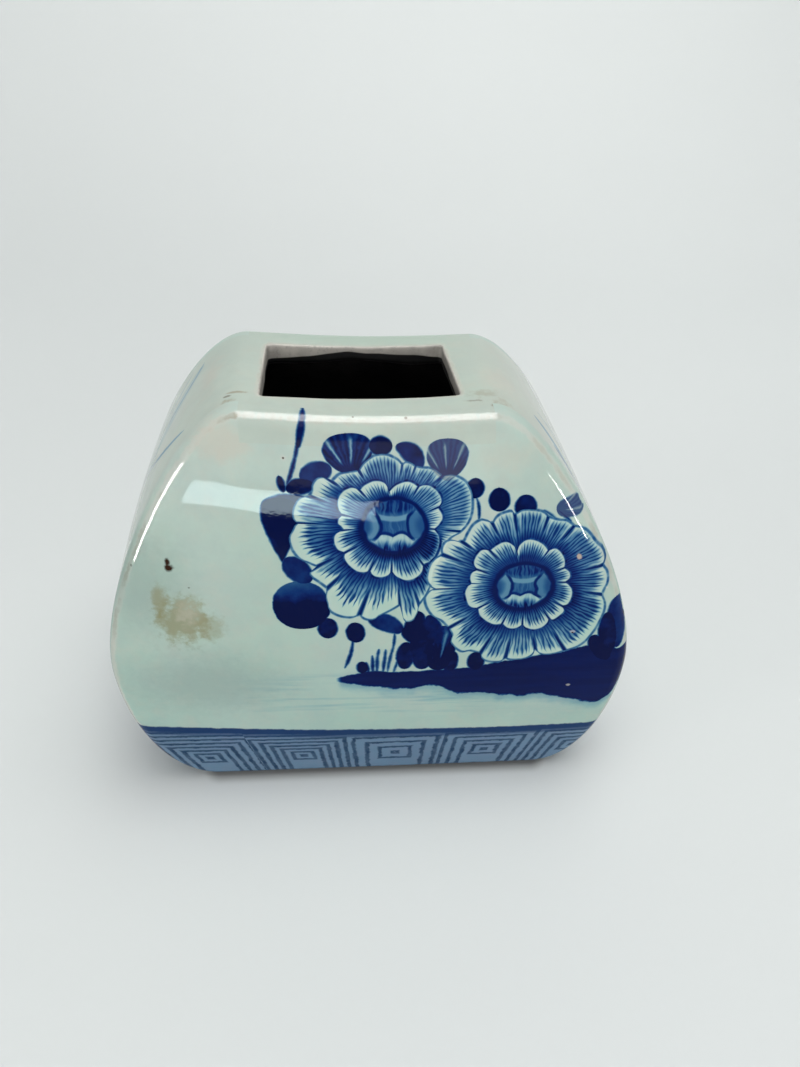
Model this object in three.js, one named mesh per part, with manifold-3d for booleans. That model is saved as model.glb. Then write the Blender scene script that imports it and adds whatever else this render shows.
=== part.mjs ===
import * as THREE from 'three';
import { mergeVertices } from 'three/addons/utils/BufferGeometryUtils.js';
import Module from 'manifold-3d';

const wasm = await Module();
wasm.setup();

// Outline seen from the front, in millimetres. X runs along the front, Y to the back and Z up.
const bodyHeight = 94;
const bellyWidth = 110;
const bellyHeight = 38.5;
const topWidth = 47.6;
const baseWidth = 75.2;
const shoulderReach = 11;
const shoulderDrop = 20.7;
const footReach = 12.7;
const footRise = 14.6;
const leanOverHeight = -4.4;

// Depth from front to back, which swells from the narrow top to the belly.
const topDepth = 38;
const bellyDepth = 64;
const baseDepth = 57;
const upperSwellPower = 1.8;
const lowerSwellPower = 2;

// Clay slabs and the seams between them.
const wallThickness = 4.2;
const topThickness = 5;
const baseThickness = 4.5;
const edgeRadius = 3;
const seamGap = 0.3;

// Mouth cut through the top slab, a little left of and in front of its middle.
const mouthWidth = 37.5;
const mouthDepth = 23.2;
const mouthCornerRadius = 1.6;
const mouthShiftX = -0.8;
const mouthShiftY = -1.2;

// Rolled clay coils pressed into the inner corners.
const coilRadius = 1.8;
const longCoilEndDrop = 14;

// Fineness of the curved surfaces.
const profileSteps = 18;
const filletSteps = 4;
const cornerSteps = 4;
const coilSides = 8;
const longCoilSteps = 44;
const baseRunPoints = 7;

const glazeGreen = '#b4c0b6';
const glazePale = '#c3cbc3';
const bareClay = '#d9d3c6';
const inkedClay = '#2a2a2e';

const filletRadius = Math.min(edgeRadius, wallThickness - seamGap);

const footCurve = new THREE.CubicBezierCurve(
  new THREE.Vector2(baseWidth / 2, 0),
  new THREE.Vector2(baseWidth / 2 + footReach, 0),
  new THREE.Vector2(bellyWidth / 2, bellyHeight - footRise),
  new THREE.Vector2(bellyWidth / 2, bellyHeight),
);
const shoulderCurve = new THREE.CubicBezierCurve(
  new THREE.Vector2(bellyWidth / 2, bellyHeight),
  new THREE.Vector2(bellyWidth / 2, bellyHeight + shoulderDrop),
  new THREE.Vector2(topWidth / 2 + shoulderReach, bodyHeight),
  new THREE.Vector2(topWidth / 2, bodyHeight),
);

// Right-hand outline from the base edge up to the top edge, moved inwards by inset.
function sideOutline(inset) {
  const points = [];
  for (const curve of [footCurve, shoulderCurve]) {
    const first = curve === footCurve ? 0 : 1;
    for (let step = first; step <= profileSteps; step += 1) {
      const point = curve.getPoint(step / profileSteps);
      const tangent = curve.getTangent(step / profileSteps);
      points.push(new THREE.Vector2(point.x - inset * tangent.y, point.y + inset * tangent.x));
    }
  }
  return points;
}

// The same outline without the points that a deep inset folds back at the tight shoulder.
function innerOutline(inset) {
  let highest = -Infinity;
  return sideOutline(inset).filter((point) => {
    const rises = point.y > highest && point.x >= topWidth / 2;
    highest = Math.max(highest, point.y);
    return rises;
  });
}

// Distance of the front face from the middle plane at height z.
function halfDepth(z) {
  const swell = (bellyDepth - topDepth) / 2;
  if (z >= bellyHeight) {
    const rise = (z - bellyHeight) / (bodyHeight - bellyHeight);
    return topDepth / 2 + swell * (1 - Math.min(rise, 1) ** upperSwellPower);
  }
  const fall = (bellyHeight - z) / bellyHeight;
  return bellyDepth / 2 - ((bellyDepth - baseDepth) / 2) * Math.min(fall, 1) ** lowerSwellPower;
}

// Rounded outer edge: how far each step lies inside the outline and behind the face.
function filletStep(step) {
  const angle = (step / filletSteps) * (Math.PI / 2);
  return {
    inset: filletRadius * (1 - Math.sin(angle)),
    depth: filletRadius * (1 - Math.cos(angle)),
  };
}

function bodyFromFaces(positions, triangles) {
  const geometry = new THREE.BufferGeometry();
  geometry.setAttribute('position', new THREE.Float32BufferAttribute(positions, 3));
  geometry.setIndex(triangles);
  return geometry;
}

function asSolid(geometry) {
  const bare = geometry.clone();
  bare.deleteAttribute('normal');
  bare.deleteAttribute('uv');
  const merged = mergeVertices(bare, 1e-4);
  const vertProperties = new Float32Array(merged.attributes.position.array);
  const triVerts = new Uint32Array(merged.index.array);
  return new wasm.Manifold(new wasm.Mesh({ numProp: 3, vertProperties, triVerts }));
}

function asGeometry(solid) {
  const mesh = solid.getMesh();
  return bodyFromFaces(Array.from(mesh.vertProperties), Array.from(mesh.triVerts));
}

function cutAway(geometry, tools) {
  return asGeometry(tools.reduce((solid, tool) => solid.subtract(asSolid(tool)), asSolid(geometry)));
}

// Front slab: the whole outline with a rounded rim, flat from side to side and swelling at the belly.
function faceSlab() {
  const rings = [];
  for (let step = 0; step <= filletSteps; step += 1) rings.push(filletStep(step));
  rings.push({ inset: 0, depth: wallThickness });
  const positions = [];
  let ringSize = 0;
  for (const { inset, depth } of rings) {
    const right = sideOutline(inset);
    const left = right.map((point) => new THREE.Vector2(-point.x, point.y)).reverse();
    for (const point of [...right, ...left]) {
      positions.push(point.x, depth - halfDepth(point.y), point.y);
    }
    ringSize = right.length + left.length;
  }
  const triangles = [];
  for (let ring = 0; ring + 1 < rings.length; ring += 1) {
    for (let here = 0; here < ringSize; here += 1) {
      const next = (here + 1) % ringSize;
      const outer = ring * ringSize;
      const inner = outer + ringSize;
      triangles.push(outer + here, inner + here, inner + next);
      triangles.push(outer + here, inner + next, outer + next);
    }
  }
  const lastRing = (rings.length - 1) * ringSize;
  for (let rung = 0; rung + 1 < ringSize / 2; rung += 1) {
    const leftLow = ringSize - 1 - rung;
    triangles.push(leftLow, rung, rung + 1, leftLow, rung + 1, leftLow - 1);
    triangles.push(lastRing + leftLow, lastRing + rung + 1, lastRing + rung);
    triangles.push(lastRing + leftLow, lastRing + leftLow - 1, lastRing + rung + 1);
  }
  return cutAway(bodyFromFaces(positions, triangles), [
    notch(topWidth / 2, bodyHeight - topThickness - seamGap, bodyHeight + topThickness),
    notch(baseWidth / 2, -baseThickness, baseThickness + seamGap),
  ]);
}

// Room that the top or base slab takes out of the front and back slabs.
function notch(halfWidth, lowZ, highZ) {
  const box = new THREE.BoxGeometry(2 * halfWidth, 2 * bellyDepth, highZ - lowZ);
  return box.translate(0, 0, (lowZ + highZ) / 2);
}

// Side wall: a strip bent along the outline that stands between the front and back slabs.
function sideWall() {
  const outer = sideOutline(0);
  const inner = innerOutline(wallThickness);
  const strip = new THREE.Shape([...outer, ...inner.reverse()]);
  const geometry = new THREE.ExtrudeGeometry(strip, { depth: 2, steps: 1, bevelEnabled: false });
  const position = geometry.attributes.position;
  for (let i = 0; i < position.count; i += 1) {
    const z = position.getY(i);
    const reach = halfDepth(z) - wallThickness - seamGap;
    position.setXYZ(i, position.getX(i), (1 - position.getZ(i)) * reach, z);
  }
  return geometry;
}

// Top or base slab: it runs the full depth and carries the rounded front and back edges.
function crossSlab(halfWidth, innerZ, heightOf) {
  const front = [new THREE.Vector2(-halfDepth(innerZ), innerZ)];
  for (let step = 0; step <= filletSteps; step += 1) {
    const { inset, depth } = filletStep(step);
    front.push(new THREE.Vector2(depth - halfDepth(heightOf(inset)), heightOf(inset)));
  }
  const back = front.map((point) => new THREE.Vector2(-point.x, point.y)).reverse();
  const geometry = new THREE.ExtrudeGeometry(new THREE.Shape([...front, ...back]), {
    depth: 2 * halfWidth,
    steps: 1,
    bevelEnabled: false,
  });
  const alongX = new THREE.Matrix4().makeBasis(
    new THREE.Vector3(0, 1, 0),
    new THREE.Vector3(0, 0, 1),
    new THREE.Vector3(1, 0, 0),
  );
  return geometry.applyMatrix4(alongX).translate(-halfWidth, 0, 0);
}

function mouthCutter() {
  const outline = new THREE.Shape();
  const halfWidth = mouthWidth / 2;
  const halfMouth = mouthDepth / 2;
  const radius = mouthCornerRadius;
  outline.moveTo(radius - halfWidth, -halfMouth);
  outline.absarc(halfWidth - radius, radius - halfMouth, radius, -Math.PI / 2, 0);
  outline.absarc(halfWidth - radius, halfMouth - radius, radius, 0, Math.PI / 2);
  outline.absarc(radius - halfWidth, halfMouth - radius, radius, Math.PI / 2, Math.PI);
  outline.absarc(radius - halfWidth, radius - halfMouth, radius, Math.PI, 1.5 * Math.PI);
  const cutter = new THREE.ExtrudeGeometry(outline, {
    depth: 3 * topThickness,
    curveSegments: cornerSteps,
    bevelEnabled: false,
  });
  return cutter.translate(mouthShiftX, mouthShiftY, bodyHeight - 2 * topThickness);
}

function topSlab() {
  const innerZ = bodyHeight - topThickness;
  const slab = crossSlab(topWidth / 2 - seamGap, innerZ, (inset) => bodyHeight - inset);
  return cutAway(slab, [mouthCutter()]);
}

function baseSlab() {
  return crossSlab(baseWidth / 2 - seamGap, baseThickness, (inset) => inset);
}

// Middle line of a long coil: down one wall, across the base and up the other wall.
const coilInset = wallThickness + seamGap + coilRadius;
const baseCoilHeight = baseThickness + seamGap + coilRadius;
const longCoilTop = bodyHeight - topThickness - longCoilEndDrop;

function longCoilDepth(z) {
  const step = 0.5;
  const slope = (halfDepth(z + step) - halfDepth(z - step)) / (2 * step);
  return halfDepth(z) - wallThickness - (seamGap + coilRadius) * Math.hypot(1, slope);
}

function longCoil() {
  const rise = innerOutline(coilInset).filter((point) => point.y > baseCoilHeight && point.y < longCoilTop);
  const path = rise.slice().reverse();
  for (let i = 0; i < baseRunPoints; i += 1) {
    const x = (baseWidth / 2) * (1 - (2 * i) / (baseRunPoints - 1));
    path.push(new THREE.Vector2(x, baseCoilHeight));
  }
  for (const point of rise) path.push(new THREE.Vector2(-point.x, point.y));
  const middle = new THREE.CatmullRomCurve3(
    path.map((point) => new THREE.Vector3(point.x, -longCoilDepth(point.y), point.y)),
  );
  return new THREE.ExtrudeGeometry(coilSection(), {
    extrudePath: middle,
    steps: longCoilSteps,
    bevelEnabled: false,
  });
}

function coilSection() {
  const corners = [];
  for (let i = 0; i < coilSides; i += 1) {
    const angle = (2 * Math.PI * (i + 0.5)) / coilSides;
    corners.push(new THREE.Vector2(coilRadius * Math.cos(angle), coilRadius * Math.sin(angle)));
  }
  return new THREE.Shape(corners);
}

// Short coil from front to back, in the corner between a side wall and the top or base slab.
function shortCoil(length) {
  const coil = new THREE.CylinderGeometry(coilRadius, coilRadius, length, coilSides);
  return coil.rotateY(Math.PI / coilSides);
}

function clay(color, roughness) {
  return new THREE.MeshStandardMaterial({ color, roughness, metalness: 0 });
}

function piece(name, geometry, material) {
  const mesh = new THREE.Mesh(geometry, material);
  mesh.name = name;
  return mesh;
}

// The pot leans a little to its left, so every piece shares one slanted group.
const leaningBody = new THREE.Group();
const slant = leanOverHeight / bodyHeight;
leaningBody.matrix.makeShear(0, 0, 0, 0, slant, 0).setPosition(-slant * bellyHeight, 0, 0);
leaningBody.matrixAutoUpdate = false;

const frontSlab = piece('front_slab', faceSlab(), clay(glazeGreen, 0.22));
const backSlab = piece('back_slab', faceSlab(), clay(glazeGreen, 0.22));
backSlab.scale.y = -1;
leaningBody.add(frontSlab, backSlab);

const rightWall = piece('right_wall', sideWall(), clay(glazePale, 0.25));
const leftWall = piece('left_wall', sideWall(), clay(glazePale, 0.25));
leftWall.scale.x = -1;
leaningBody.add(rightWall, leftWall);

leaningBody.add(piece('top_slab', topSlab(), clay(glazePale, 0.25)));
leaningBody.add(piece('base_slab', baseSlab(), clay(bareClay, 0.8)));

const frontCoil = piece('front_seam_coil', longCoil(), clay(inkedClay, 0.7));
const backCoil = piece('back_seam_coil', longCoil(), clay(inkedClay, 0.7));
backCoil.scale.y = -1;
leaningBody.add(frontCoil, backCoil);

const footCoilLength = 2 * (longCoilDepth(baseCoilHeight) - coilRadius - seamGap);
const topCoilHeight = bodyHeight - topThickness - seamGap - coilRadius;
const topCoilLength = 2 * (longCoilDepth(topCoilHeight) + coilRadius - seamGap);
for (const [side, sign] of [['left', -1], ['right', 1]]) {
  const footCoil = piece(`${side}_foot_coil`, shortCoil(footCoilLength), clay(inkedClay, 0.7));
  footCoil.position.set((sign * baseWidth) / 2, 0, baseCoilHeight);
  const topCoil = piece(`${side}_top_coil`, shortCoil(topCoilLength), clay(inkedClay, 0.7));
  topCoil.position.set((sign * topWidth) / 2, 0, topCoilHeight);
  leaningBody.add(footCoil, topCoil);
}

const waterPot = new THREE.Group();
waterPot.add(leaningBody);

export default waterPot;
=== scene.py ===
import bmesh
import bpy
import math
import numpy as np
from mathutils import Matrix, Quaternion, Vector, kdtree, noise
from mathutils.bvhtree import BVHTree


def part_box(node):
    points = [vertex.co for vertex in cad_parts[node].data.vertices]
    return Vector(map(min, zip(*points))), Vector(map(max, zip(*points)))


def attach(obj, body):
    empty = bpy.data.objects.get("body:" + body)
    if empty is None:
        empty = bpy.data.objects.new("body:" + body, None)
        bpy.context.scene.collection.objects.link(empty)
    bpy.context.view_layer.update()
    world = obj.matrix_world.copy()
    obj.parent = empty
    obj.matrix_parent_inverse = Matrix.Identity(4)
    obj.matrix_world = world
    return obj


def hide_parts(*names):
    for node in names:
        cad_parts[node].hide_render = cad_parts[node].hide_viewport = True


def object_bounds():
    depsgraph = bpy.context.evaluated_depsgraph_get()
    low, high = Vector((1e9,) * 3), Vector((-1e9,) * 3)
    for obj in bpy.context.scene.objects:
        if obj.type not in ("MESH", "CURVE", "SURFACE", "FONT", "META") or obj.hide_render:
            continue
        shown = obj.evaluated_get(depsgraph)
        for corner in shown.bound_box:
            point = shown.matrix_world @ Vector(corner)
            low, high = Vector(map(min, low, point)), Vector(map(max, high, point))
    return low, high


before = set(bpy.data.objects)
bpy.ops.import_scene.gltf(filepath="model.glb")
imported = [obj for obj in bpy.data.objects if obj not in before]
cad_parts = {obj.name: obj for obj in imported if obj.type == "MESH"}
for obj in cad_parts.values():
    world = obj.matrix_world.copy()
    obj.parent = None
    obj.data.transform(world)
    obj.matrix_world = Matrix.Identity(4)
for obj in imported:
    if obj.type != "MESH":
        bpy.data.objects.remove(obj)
cadLow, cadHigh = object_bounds()
mm = 0.001
print("frame loaded:", len(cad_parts), "nodes")

topLow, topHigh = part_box("top_slab")
baseLow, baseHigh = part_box("base_slab")

# the pot's sizes in millimetres, the overall ones read from the frame
pot = {
    "height": cadHigh.z / mm,
    "bellyDepth": (cadHigh.y - cadLow.y) / mm,
    "topThickness": (topHigh.z - topLow.z) / mm,
    "baseThickness": (baseHigh.z - baseLow.z) / mm,
    "bellyWidth": 110.0,
    "bellyHeight": 38.5,
    "topWidth": 47.6,
    "baseWidth": 75.2,
    "shoulderReach": 11.0,
    "shoulderDrop": 20.7,
    "footReach": 12.7,
    "footRise": 14.6,
    "topDepth": 38.0,
    "baseDepth": 57.0,
    "topBulge": 1.8,
    "footBulge": 2,
    "wall": 4.2,
    "rimRadius": 3.0,
    "lean": -4.4,
}

# what the hands did to the plain shape, in millimetres
handMade = {
    "faceCrown": 0.8,
    "faceCrownFrom": 0.5,
    "sideCrown": 0.7,
    "sideCrownFrom": 0.6,
    "topSag": 1.0,
    "sagReach": 0.6,
    "sagFrom": 70,
    "stillFoot": 10,
    "wobble": 0.28,
    "wobbleSize": 34.0,
    "seed": 6,
}
noise.seed_set(handMade["seed"])

# how finely the slabs are divided, and the heights between which their columns bend
fine = {
    "footRows": 34,
    "shoulderRows": 46,
    "columns": 36,
    "topSplit": 13,
    "baseSplit": 14,
    "rimSteps": 8,
    "sideColumns": 26,
    "rowGap": 0.006,
    "levels": 400,
    "bendFrom": 60,
    "bendTo": 25,
}


def smooth(x, low, high):
    t = min(max((x - low) / (high - low), 0), 1)
    return t * t * (3 - 2 * t)


def bezier(a, b, c, d, t):
    s = 1 - t
    place = a * s**3 + b * (3 * s * s * t) + c * (3 * s * t * t) + d * t**3
    heading = (b - a) * (3 * s * s) + (c - b) * (6 * s * t) + (d - c) * (3 * t * t)
    return place, heading.normalized()


# right-hand outline: t runs 0 to 1 up the foot and 1 to 2 over the shoulder
def outlinePoint(t, inset=0.0):
    belly, high = pot["bellyWidth"] / 2, pot["bellyHeight"]
    if t <= 1:
        start = Vector((pot["baseWidth"] / 2, 0))
        bends = (start + Vector((pot["footReach"], 0)), Vector((belly, high - pot["footRise"])))
        place, heading = bezier(start, *bends, Vector((belly, high)), t)
    else:
        end = Vector((pot["topWidth"] / 2, pot["height"]))
        bends = (Vector((belly, high + pot["shoulderDrop"])), end + Vector((pot["shoulderReach"], 0)))
        place, heading = bezier(Vector((belly, high)), *bends, end, t - 1)
    return place.x - inset * heading.y, place.y + inset * heading.x


# distance of the front face from the middle plane at height z
def halfDepth(z):
    bellyHalf, high = pot["bellyDepth"] / 2, pot["bellyHeight"]
    if z >= high:
        rise = min((z - high) / (pot["height"] - high), 1)
        return bellyHalf - (bellyHalf - pot["topDepth"] / 2) * rise ** pot["topBulge"]
    fall = min((high - z) / high, 1)
    return bellyHalf - (bellyHalf - pot["baseDepth"] / 2) * fall ** pot["footBulge"]


# the row at which the outline, moved inwards, passes a height
def rowAt(z, inset, low, high):
    for _ in range(40):
        middle = (low + high) / 2
        low, high = (middle, high) if outlinePoint(middle, inset)[1] < z else (low, middle)
    return low


roof, floorTop = pot["height"] - pot["topThickness"], pot["baseThickness"]
topRows = [rowAt(roof, inset, 1, 2) for inset in (pot["rimRadius"], 0)]
baseRows = [rowAt(floorTop, inset, 0, 1) for inset in (pot["rimRadius"], 0)]
outlineRows = [i / fine["footRows"] for i in range(fine["footRows"])]
outlineRows += [1 + i / fine["shoulderRows"] for i in range(fine["shoulderRows"] + 1)]
outlineRows = [t for t in outlineRows if all(abs(t - cut) > fine["rowGap"] for cut in topRows + baseRows)]
outlineRows = sorted(outlineRows + topRows + baseRows)
half = fine["columns"] // 2
columns = [k / half for k in range(-half, half + 1)]
sideColumns = [-1 + 2 * i / fine["sideColumns"] for i in range(fine["sideColumns"] + 1)]


# columns across a slab, bent so that one of them follows the edge of the top or base slab
def columnsAt(x, z):
    if z > pot["height"] / 2:
        split, edge = fine["topSplit"], pot["topWidth"] / 2
        near = smooth(z, fine["bendFrom"], roof)
    else:
        split, edge = fine["baseSplit"], pot["baseWidth"] / 2
        near = 1 - smooth(z, floorTop, fine["bendTo"])
    share = split / half + (min(edge / x, 1) - split / half) * near
    bend = (0, split, half), (0, share, 1)
    return [math.copysign(np.interp(abs(k), *bend), k) for k in range(-half, half + 1)]


outlineXz = np.array([outlinePoint(t) for t in outlineRows])
outlineRun = np.concatenate([[0], np.cumsum(np.hypot(*np.diff(outlineXz, axis=0).T))])
levels = np.linspace(0, pot["height"], fine["levels"])
levelDepths = np.array([halfDepth(z) for z in levels])
faceRun = np.concatenate([[0], np.cumsum(np.hypot(np.diff(levels), np.diff(levelDepths)))])


# moves a point of the plain shape to where the hand-built pot has it
def byHand(point):
    x, y, z = point
    width = float(np.interp(z, outlineXz[:, 1], outlineXz[:, 0]))
    across, along = min(abs(x) / width, 1), min(abs(y) / halfDepth(z), 1)
    sail = 1 - (2 * min(max(z / pot["height"], 0), 1) - 1) ** 4
    dy = handMade["faceCrown"] * (1 - across**2) * sail * smooth(along, handMade["faceCrownFrom"], 1)
    dx = handMade["sideCrown"] * (1 - along**2) * sail * smooth(across, handMade["sideCrownFrom"], 1)
    reach = pot["topWidth"] / 2 + handMade["sagReach"] * pot["shoulderReach"]
    sag = handMade["topSag"] * max(1 - (x / reach) ** 2, 0) ** 1.5
    sag = sag * smooth(z, handMade["sagFrom"], pot["height"])
    drift = noise.noise_vector(Vector((x, y, z)) / handMade["wobbleSize"]) * handMade["wobble"]
    slant = pot["lean"] * (z - pot["bellyHeight"]) / pot["height"]
    moved = Vector((x + math.copysign(dx, x) + slant, y + math.copysign(dy, y), z - sag))
    return (moved + drift * smooth(z, 0, handMade["stillFoot"])) * mm


# a net of faces over rows of points; one row alone is the edge of a single face
def addGrid(bm, rows):
    corners = [[bm.verts.new(p) for p in row] for row in rows]
    if len(rows) == 1:
        bm.faces.new(corners[0])
    for low, high in zip(corners, corners[1:]):
        for i in range(len(low) - 1):
            bm.faces.new((low[i], low[i + 1], high[i + 1], high[i]))


def plainMesh(name, grids):
    bm = bmesh.new()
    for rows in grids:
        addGrid(bm, rows)
    bmesh.ops.remove_doubles(bm, verts=bm.verts, dist=1e-3)
    bmesh.ops.dissolve_degenerate(bm, edges=bm.edges, dist=1e-4)
    bmesh.ops.recalc_face_normals(bm, faces=bm.faces)
    mesh = bpy.data.meshes.new(name)
    bm.to_mesh(mesh)
    bm.free()
    return mesh


# rounded rim between a face and the sides: how far in from the outline, how far behind the face
def rimProfile():
    turns = [math.pi / 2 * i / fine["rimSteps"] for i in range(fine["rimSteps"] + 1)]
    return [(pot["rimRadius"] * (1 - math.sin(a)), pot["rimRadius"] * (1 - math.cos(a))) for a in turns]


# front (side -1) or back (side 1) slab: its rounded rim and the notches that hold the top and base slabs
def slabGrids(side, skinOnly=False):
    def place(t, inset, depth, share):
        x, z = outlinePoint(t, inset)
        return Vector((share * x, side * (halfDepth(z) - depth), z))

    def faceRow(t, inset, depth):
        shares = columnsAt(*outlinePoint(t, inset))
        return [place(t, inset, depth, share) for share in shares]

    rings = rimProfile() + [(0, pot["wall"])]
    grids = [[[place(t, *ring, s) for ring in rings] for t in outlineRows] for s in (-1, 1)]
    if skinOnly:
        grids.append([faceRow(t, *rings[0]) for t in outlineRows])
        for t in (0, 2):
            grids.append([[place(t, *ring, s) for ring in rings] for s in columnsAt(*outlinePoint(t))])
        return grids
    top, base = fine["topSplit"], fine["baseSplit"]
    faces = (rings[0], topRows[0], baseRows[0]), (rings[-1], topRows[1], baseRows[1])
    for (inset, depth), highRow, lowRow in faces:
        rows = {t: faceRow(t, inset, depth) for t in outlineRows}
        grids.append([rows[t] for t in outlineRows if lowRow <= t <= highRow])
        for keep, split in ((lambda t: t >= highRow, top), (lambda t: t <= lowRow, base)):
            grids.append([rows[t][half + split :] for t in outlineRows if keep(t)])
            grids.append([rows[t][: half - split + 1] for t in outlineRows if keep(t)])
    for rowPair, split in ((topRows, top), (baseRows, base)):
        outer, inner = faceRow(rowPair[0], *rings[0]), faceRow(rowPair[1], *rings[-1])
        grids.append([outer[half - split : half + split + 1], inner[half - split : half + split + 1]])
        end, keep = (2, lambda t, cut: t >= cut) if split == top else (0, lambda t, cut: t <= cut)
        for s in (-1, 1):
            edge, back = [
                [place(t, *ring, s * columnsAt(*outlinePoint(t, ring[0]))[half + split])
                 for t in outlineRows if keep(t, cut)]
                for ring, cut in zip((rings[0], rings[-1]), rowPair)
            ]
            turn = [place(end, *ring, s) for ring in rings]
            if split == base:
                edge, back = edge[::-1], back[::-1]
            grids.append([edge + turn[1:-1] + back[::-1]])
    return grids


# side wall bent along the outline: side -1 left, 1 right
def wallGrids(side, skinOnly=False):
    def place(t, inset, along):
        x, z = outlinePoint(t, inset)
        return Vector((side * x, along * (halfDepth(z) - pot["wall"]), z))

    wall = pot["wall"]
    grids = [[[place(t, 0, s) for s in sideColumns] for t in outlineRows]]
    if skinOnly:
        return grids
    grids.append([[place(t, wall, s) for s in sideColumns] for t in outlineRows])
    for s in (-1, 1):
        grids.append([[place(t, 0, s), place(t, wall, s)] for t in outlineRows])
    for t in (0, 2):
        grids.append([[place(t, 0, s), place(t, wall, s)] for s in sideColumns])
    return grids


# the whole outer skin, which lends every piece the same surface directions across the seams
def skinGrids():
    grids = slabGrids(-1, True) + slabGrids(1, True) + wallGrids(-1, True) + wallGrids(1, True)
    for t in (0, 2):
        x, z = outlinePoint(t)
        reach = halfDepth(z) - pot["wall"]
        grids.append([[Vector((s * x, a * reach, z)) for s in columnsAt(x, z)] for a in sideColumns])
    return grids


def baseGrids():
    thick, wide = pot["baseThickness"], pot["baseWidth"] / 2
    edge = [(halfDepth(inset) - depth, inset) for inset, depth in reversed(rimProfile())]
    edge.append((halfDepth(thick), thick))

    def place(s, a, level):
        return Vector((s * wide, a * level[0], level[1]))

    grids = [[[place(s, a, level) for s in columns] for a in sideColumns] for level in (edge[0], edge[-1])]
    for a in (-1, 1):
        grids.append([[place(s, a, level) for s in columns] for level in edge])
    for s in (-1, 1):
        grids.append([[place(s, a, level) for a in sideColumns] for level in edge])
    return grids


# mouth cut with a knife through the top, in millimetres; its corners run from front left to back left
mouth = {
    "corners": [(-20.2, -12.1), (18.2, -10.9), (17.3, 11.7), (-19.7, 10.9)],
    "cornerRadius": 0.95,
    "lip": 0.45,
    "lipSteps": 5,
    "thinMiddleBack": 1.5,
    "thinCentre": -0.05,
    "thinReach": 0.42,
    "lowWave": 0.35,
    "lowLip": 0.4,
    "taper": 0.12,
    "flare": 0.5,
    "wave": 0.22,
    "waveSize": 6.0,
    "sideSteps": 64,
    "endSteps": 40,
    "flatSteps": 9,
    "wallHeight": 4.2,
    "wallReach": (22.5, 15.5),
}


# a point of the mouth's edge, across and along from -1 to 1, grown outwards by some millimetres
def mouthPoint(across, along, grow):
    front, frontEnd, backEnd, back = [Vector(c) for c in mouth["corners"]]
    halfX = (frontEnd.x - front.x + backEnd.x - back.x) / 4
    halfY = (back.y - front.y + backEnd.y - frontEnd.y) / 4
    radius = mouth["cornerRadius"]
    p = Vector((across * halfX, along * halfY))
    coreX = min(max(p.x, radius - halfX), halfX - radius)
    coreY = min(max(p.y, radius - halfY), halfY - radius)
    core = Vector((coreX, coreY))
    p = core + (p - core).normalized() * (radius + grow)
    u, v = (p.x / halfX + 1) / 2, (p.y / halfY + 1) / 2
    placed = front.lerp(frontEnd, u).lerp(back.lerp(backEnd, u), v)
    shake = noise.noise_vector(Vector((placed.x, placed.y, 7.0)) / mouth["waveSize"]) * mouth["wave"]
    return placed + shake.xy


# steps from -1 to 1 that close up towards both ends, where the mouth turns its corners
def cornerSteps(count):
    even = [-1 + 2 * i / count for i in range(count)]
    return [(s + math.sin(s * math.pi / 2)) / 2 for s in even]


def topGrids():
    along, ends = cornerSteps(mouth["sideSteps"]), cornerSteps(mouth["endSteps"])
    rim = [(s, -1) for s in along] + [(1, a) for a in ends]
    rim += [(-s, -a) for s, a in rim]
    rim.append(rim[0])
    high, thick, lip = pot["height"], pot["topThickness"], mouth["lip"]
    lowLip, taper, flare = mouth["lowLip"], mouth["taper"], mouth["flare"]
    wide = pot["topWidth"] / 2

    def outer(s, a, level):
        return Vector((s * wide, a * level[0], level[1]))

    def inner(s, a, grow, z):
        p = mouthPoint(s, a, grow)
        return Vector((p.x, p.y, z))

    def lowEdge(s, a):
        aside = (s - mouth["thinCentre"]) / mouth["thinReach"]
        thin = mouth["thinMiddleBack"] * math.exp(-(aside**2)) * smooth(a, 0.2, 1)
        return high - thick + thin + mouth["lowWave"] * (1 + noise.noise(Vector((s * 3.1, a * 2.3, 2.0))))

    edge = [(halfDepth(high - thick), high - thick)]
    edge += [(halfDepth(high - inset) - depth, high - inset) for inset, depth in rimProfile()]
    rows = [[outer(s, a, level) for s, a in rim] for level in edge]
    for i in range(1, mouth["flatSteps"]):
        k = i / mouth["flatSteps"]
        rows.append([outer(s, a, edge[-1]).lerp(inner(s, a, lip, high), k) for s, a in rim])
    for i in range(mouth["lipSteps"] + 1):
        turn = math.pi / 2 * i / mouth["lipSteps"]
        grow, drop = lip * (1 - math.sin(turn)), lip * (1 - math.cos(turn))
        rows.append([inner(s, a, grow, high - drop) for s, a in rim])
    for k in (0.2, 0.4, 0.6, 0.8, 1):
        upper = (high - lip) * (1 - k)
        rows.append([inner(s, a, taper * k, upper + (lowEdge(s, a) + lowLip) * k) for s, a in rim])
    for k in (0, 0.3, 0.65, 1):
        rows.append([inner(s, a, flare, lowEdge(s, a)).lerp(outer(s, a, edge[0]), k) for s, a in rim])
    return [rows]


def buildSkin():
    mesh = plainMesh("skin", skinGrids())
    for v in mesh.vertices:
        v.co = byHand(v.co)
    bm = bmesh.new()
    bm.from_mesh(mesh)
    bmesh.ops.triangulate(bm, faces=bm.faces)
    bm.normal_update()
    bm.verts.ensure_lookup_table()
    bm.faces.ensure_lookup_table()
    return bm, BVHTree.FromBMesh(bm)


skin, skinTree = buildSkin()


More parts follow.
